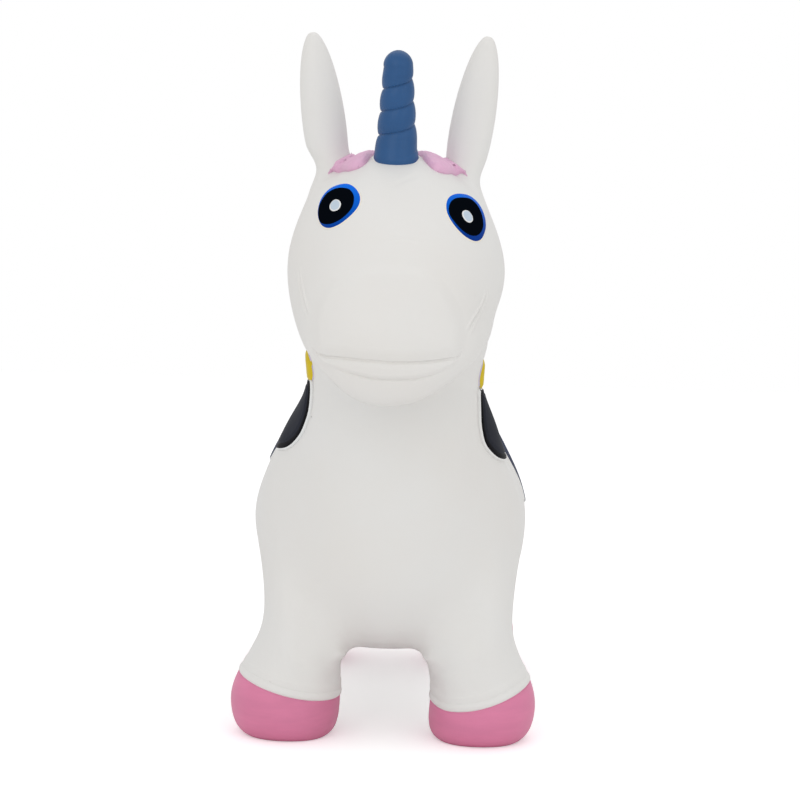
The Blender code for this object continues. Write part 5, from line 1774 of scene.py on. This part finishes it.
class RIDEON_OT_valve(bpy.types.Operator):
    """Socket under the belly, and its plug with grip ribs"""
    bl_idname = "rideon.valve"
    bl_label = "Air valve"

    def execute(self, context):
        place, _ = on_skin((0, torso_point(VALVE_PLACE_SHARE, 0).y, -FAR), (0, 0, 1))
        frame = Matrix.Translation(place - Vector((0, 0, 2 * CLEARANCE)))
        bore, tube, flange = VALVE_BORE / 2, VALVE_TUBE / 2, VALVE_FLANGE / 2
        low = -FLANGE_THICKNESS
        groove = zip(FLANGE_GROOVE, (low, low + GROOVE_DEPTH, low + GROOVE_DEPTH, low))
        socket = [(bore, VALVE_DEPTH), (tube, VALVE_DEPTH), (tube, 0), (flange, 0), (flange, low),
                  *((flange - inwards, height) for inwards, height in groove), (bore, low)]
        obj = turned("belly_valve_socket", softened(socket, FLANGE_ROUND), frame)
        ride(dressed(obj, finishes()["valve"]), "valve_plastic", "valve_socket")
        shank, head = bore - CLEARANCE, PLUG_HEAD / 2
        seat = low - CLEARANCE
        foot = seat - PLUG_HEAD_THICKNESS
        plug = [(0, seat + PLUG_SHANK), (shank * POINT_SHARES[0], seat + PLUG_SHANK),
                (shank, seat + PLUG_SHANK * POINT_SHARES[1]), (shank, seat), (head, seat),
                (head, foot), (head * HOLLOW_SHARES[0], foot),
                (head * HOLLOW_SHARES[1], foot + HOLLOW_DEPTH), (0, foot + HOLLOW_DEPTH)]
        obj = turned("belly_valve_plug", softened(plug, PLUG_ROUND), frame)
        ride(dressed(obj, finishes()["plug"]), "valve_plastic", "valve_plug", body="valve_plug")
        values = {"Radius": head, "Ribs": toy().valve.ribs, "Rib Width": toy().valve.rib_width,
                  "Rib Height": PLUG_HEAD_THICKNESS * RIB_HEIGHT_SHARE, "Material": finishes()["plug"]}
        middle = frame @ Matrix.Translation((0, 0, (seat + foot) / 2))
        ribs = cleaned(made_by("plug_grip_ribs", rib_tree(), values), middle, smooth=False)
        ride(ribs, "valve_plastic", body="valve_plug")
        return {"FINISHED"}


# Stage

FLOOR_REACH, FLOOR_ROUGHNESS, FLOOR_SHINE, AIM = 3.0, 0.9, 0.1, Vector((0, 0, 0.3))
CAMERA_RANGE, CAMERA_TURN, CAMERA_HEIGHT = 1.94, math.radians(1.0), 0.485
CAMERA_DIP, CAMERA_ROLL, CAMERA_SHIFT = math.radians(6.06), math.radians(1.5), 7 / 800
# Lights: name, place, width and share of the main light's power
LIGHTS = (
    ("key", (-0.8, -2.0, 1.2), 1.6, 1.05),
    ("fill", (1.3, -1.7, 1.0), 1.6, 0.60),
    ("top", (0.1, 0.3, 2.2), 2.2, 1.25),
)


class RIDEON_OT_stage(bpy.types.Operator):
    """Pale floor, soft lights and the camera"""
    bl_idname = "rideon.stage"
    bl_label = "Stage"

    def execute(self, context):
        settings = toy().stage
        mesh = bpy.data.meshes.new("floor")
        mesh.from_pydata([(x * FLOOR_REACH, y * FLOOR_REACH, 0)
                          for x, y in ((-1, -1), (1, -1), (1, 1), (-1, 1))], [], [(0, 1, 2, 3)])
        floor = add("floor", mesh)
        plain = bpy.data.materials.new("floor_plain")
        plain.use_nodes = True
        shader = plain.node_tree.nodes["Principled BSDF"]
        shader.inputs["Base Color"].default_value = (*settings.floor, 1)
        shader.inputs["Roughness"].default_value = FLOOR_ROUGHNESS
        shader.inputs["Specular IOR Level"].default_value = FLOOR_SHINE
        shader.inputs["Emission Color"].default_value = (1, 1, 1, 1)
        tree = plain.node_tree
        glow = tree.nodes.new("ShaderNodeMath")
        glow.operation = "MULTIPLY"
        glow.inputs[1].default_value = settings.floor_glow
        tree.links.new(tree.nodes.new("ShaderNodeLightPath").outputs["Is Camera Ray"], glow.inputs[0])
        tree.links.new(glow.outputs[0], shader.inputs["Emission Strength"])
        mesh.materials.append(plain)
        scene = context.scene
        world = bpy.data.worlds.new("surroundings")
        world.use_nodes = True
        nodes, links = world.node_tree.nodes, world.node_tree.links
        seen = nodes["Background"]
        seen.inputs["Color"].default_value = (1, 1, 1, 1)
        seen.inputs["Strength"].default_value = 1.0
        glow = nodes.new("ShaderNodeBackground")
        glow.inputs["Color"].default_value = (1, 1, 1, 1)
        glow.inputs["Strength"].default_value = settings.sky
        mix = nodes.new("ShaderNodeMixShader")
        links.new(nodes.new("ShaderNodeLightPath").outputs["Is Camera Ray"], mix.inputs[0])
        links.new(glow.outputs[0], mix.inputs[1])
        links.new(seen.outputs[0], mix.inputs[2])
        links.new(mix.outputs[0], nodes["World Output"].inputs["Surface"])
        scene.world = world
        for name, place, size, share in LIGHTS:
            light = bpy.data.lights.new(name, "AREA")
            light.energy = settings.key * share
            light.size = size
            lamp = bpy.data.objects.new(name, light)
            lamp.location = place
            lamp.rotation_euler = (AIM - Vector(place)).to_track_quat("-Z", "Y").to_euler()
            scene.collection.objects.link(lamp)
        camera = bpy.data.cameras.new("camera")
        camera.lens = settings.lens
        camera.shift_x = CAMERA_SHIFT
        holder = bpy.data.objects.new("camera", camera)
        place = Matrix.Rotation(CAMERA_TURN, 4, "Z") @ Matrix.Translation((0, -CAMERA_RANGE,
                                                                          CAMERA_HEIGHT))
        holder.matrix_world = (place @ Matrix.Rotation(math.pi / 2 - CAMERA_DIP, 4, "X")
                               @ Matrix.Rotation(CAMERA_ROLL, 4, "Z"))
        scene.collection.objects.link(holder)
        scene.camera = holder
        scene.view_settings.view_transform = "Standard"
        scene.view_settings.look = "None"
        return {"FINISHED"}


class RIDEON_PT_panel(bpy.types.Panel):
    """Sizes, colours and building steps of the ride-on toy"""
    bl_idname = "RIDEON_PT_panel"
    bl_label = "Ride-On Toy"
    bl_space_type = "VIEW_3D"
    bl_region_type = "UI"
    bl_category = "Ride-On Toy"

    def draw(self, context):
        for operator in STEPS:
            self.layout.operator(operator.bl_idname)
        settings = context.scene.ride_on_toy
        for group in settings.bl_rna.properties:
            if group.identifier in SETTINGS_SHOWN:
                box = self.layout.box()
                box.label(text=group.identifier.capitalize())
                values = getattr(settings, group.identifier)
                for prop in type(values).__annotations__:
                    box.prop(values, prop)


SETTINGS_SHOWN = ("skin", "horn", "eyes", "saddle", "hair", "valve", "paint", "stage")
STEPS = (RIDEON_OT_skin, RIDEON_OT_ears, RIDEON_OT_legs, RIDEON_OT_horn, RIDEON_OT_eyes,
         RIDEON_OT_saddle, RIDEON_OT_hair, RIDEON_OT_valve, RIDEON_OT_stage)
CLASSES = (SkinSettings, HornSettings, EyeSettings, SaddleSettings, HairSettings, ValveSettings,
           PaintSettings, StageSettings, RideOnSettings, *STEPS, RIDEON_PT_panel)


def register():
    for cls in CLASSES:
        bpy.utils.register_class(cls)
    bpy.types.Scene.ride_on_toy = PointerProperty(type=RideOnSettings)


def unregister():
    del bpy.types.Scene.ride_on_toy
    for cls in reversed(CLASSES):
        bpy.utils.unregister_class(cls)


def main():
    register()
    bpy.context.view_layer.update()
    bpy.ops.rideon.skin()
    bpy.ops.rideon.ears()
    bpy.ops.rideon.legs()
    bpy.ops.rideon.horn()
    bpy.ops.rideon.eyes()
    bpy.ops.rideon.saddle()
    bpy.ops.rideon.hair()
    bpy.ops.rideon.valve()
    bpy.ops.rideon.stage()


if __name__ == "__main__":
    main()
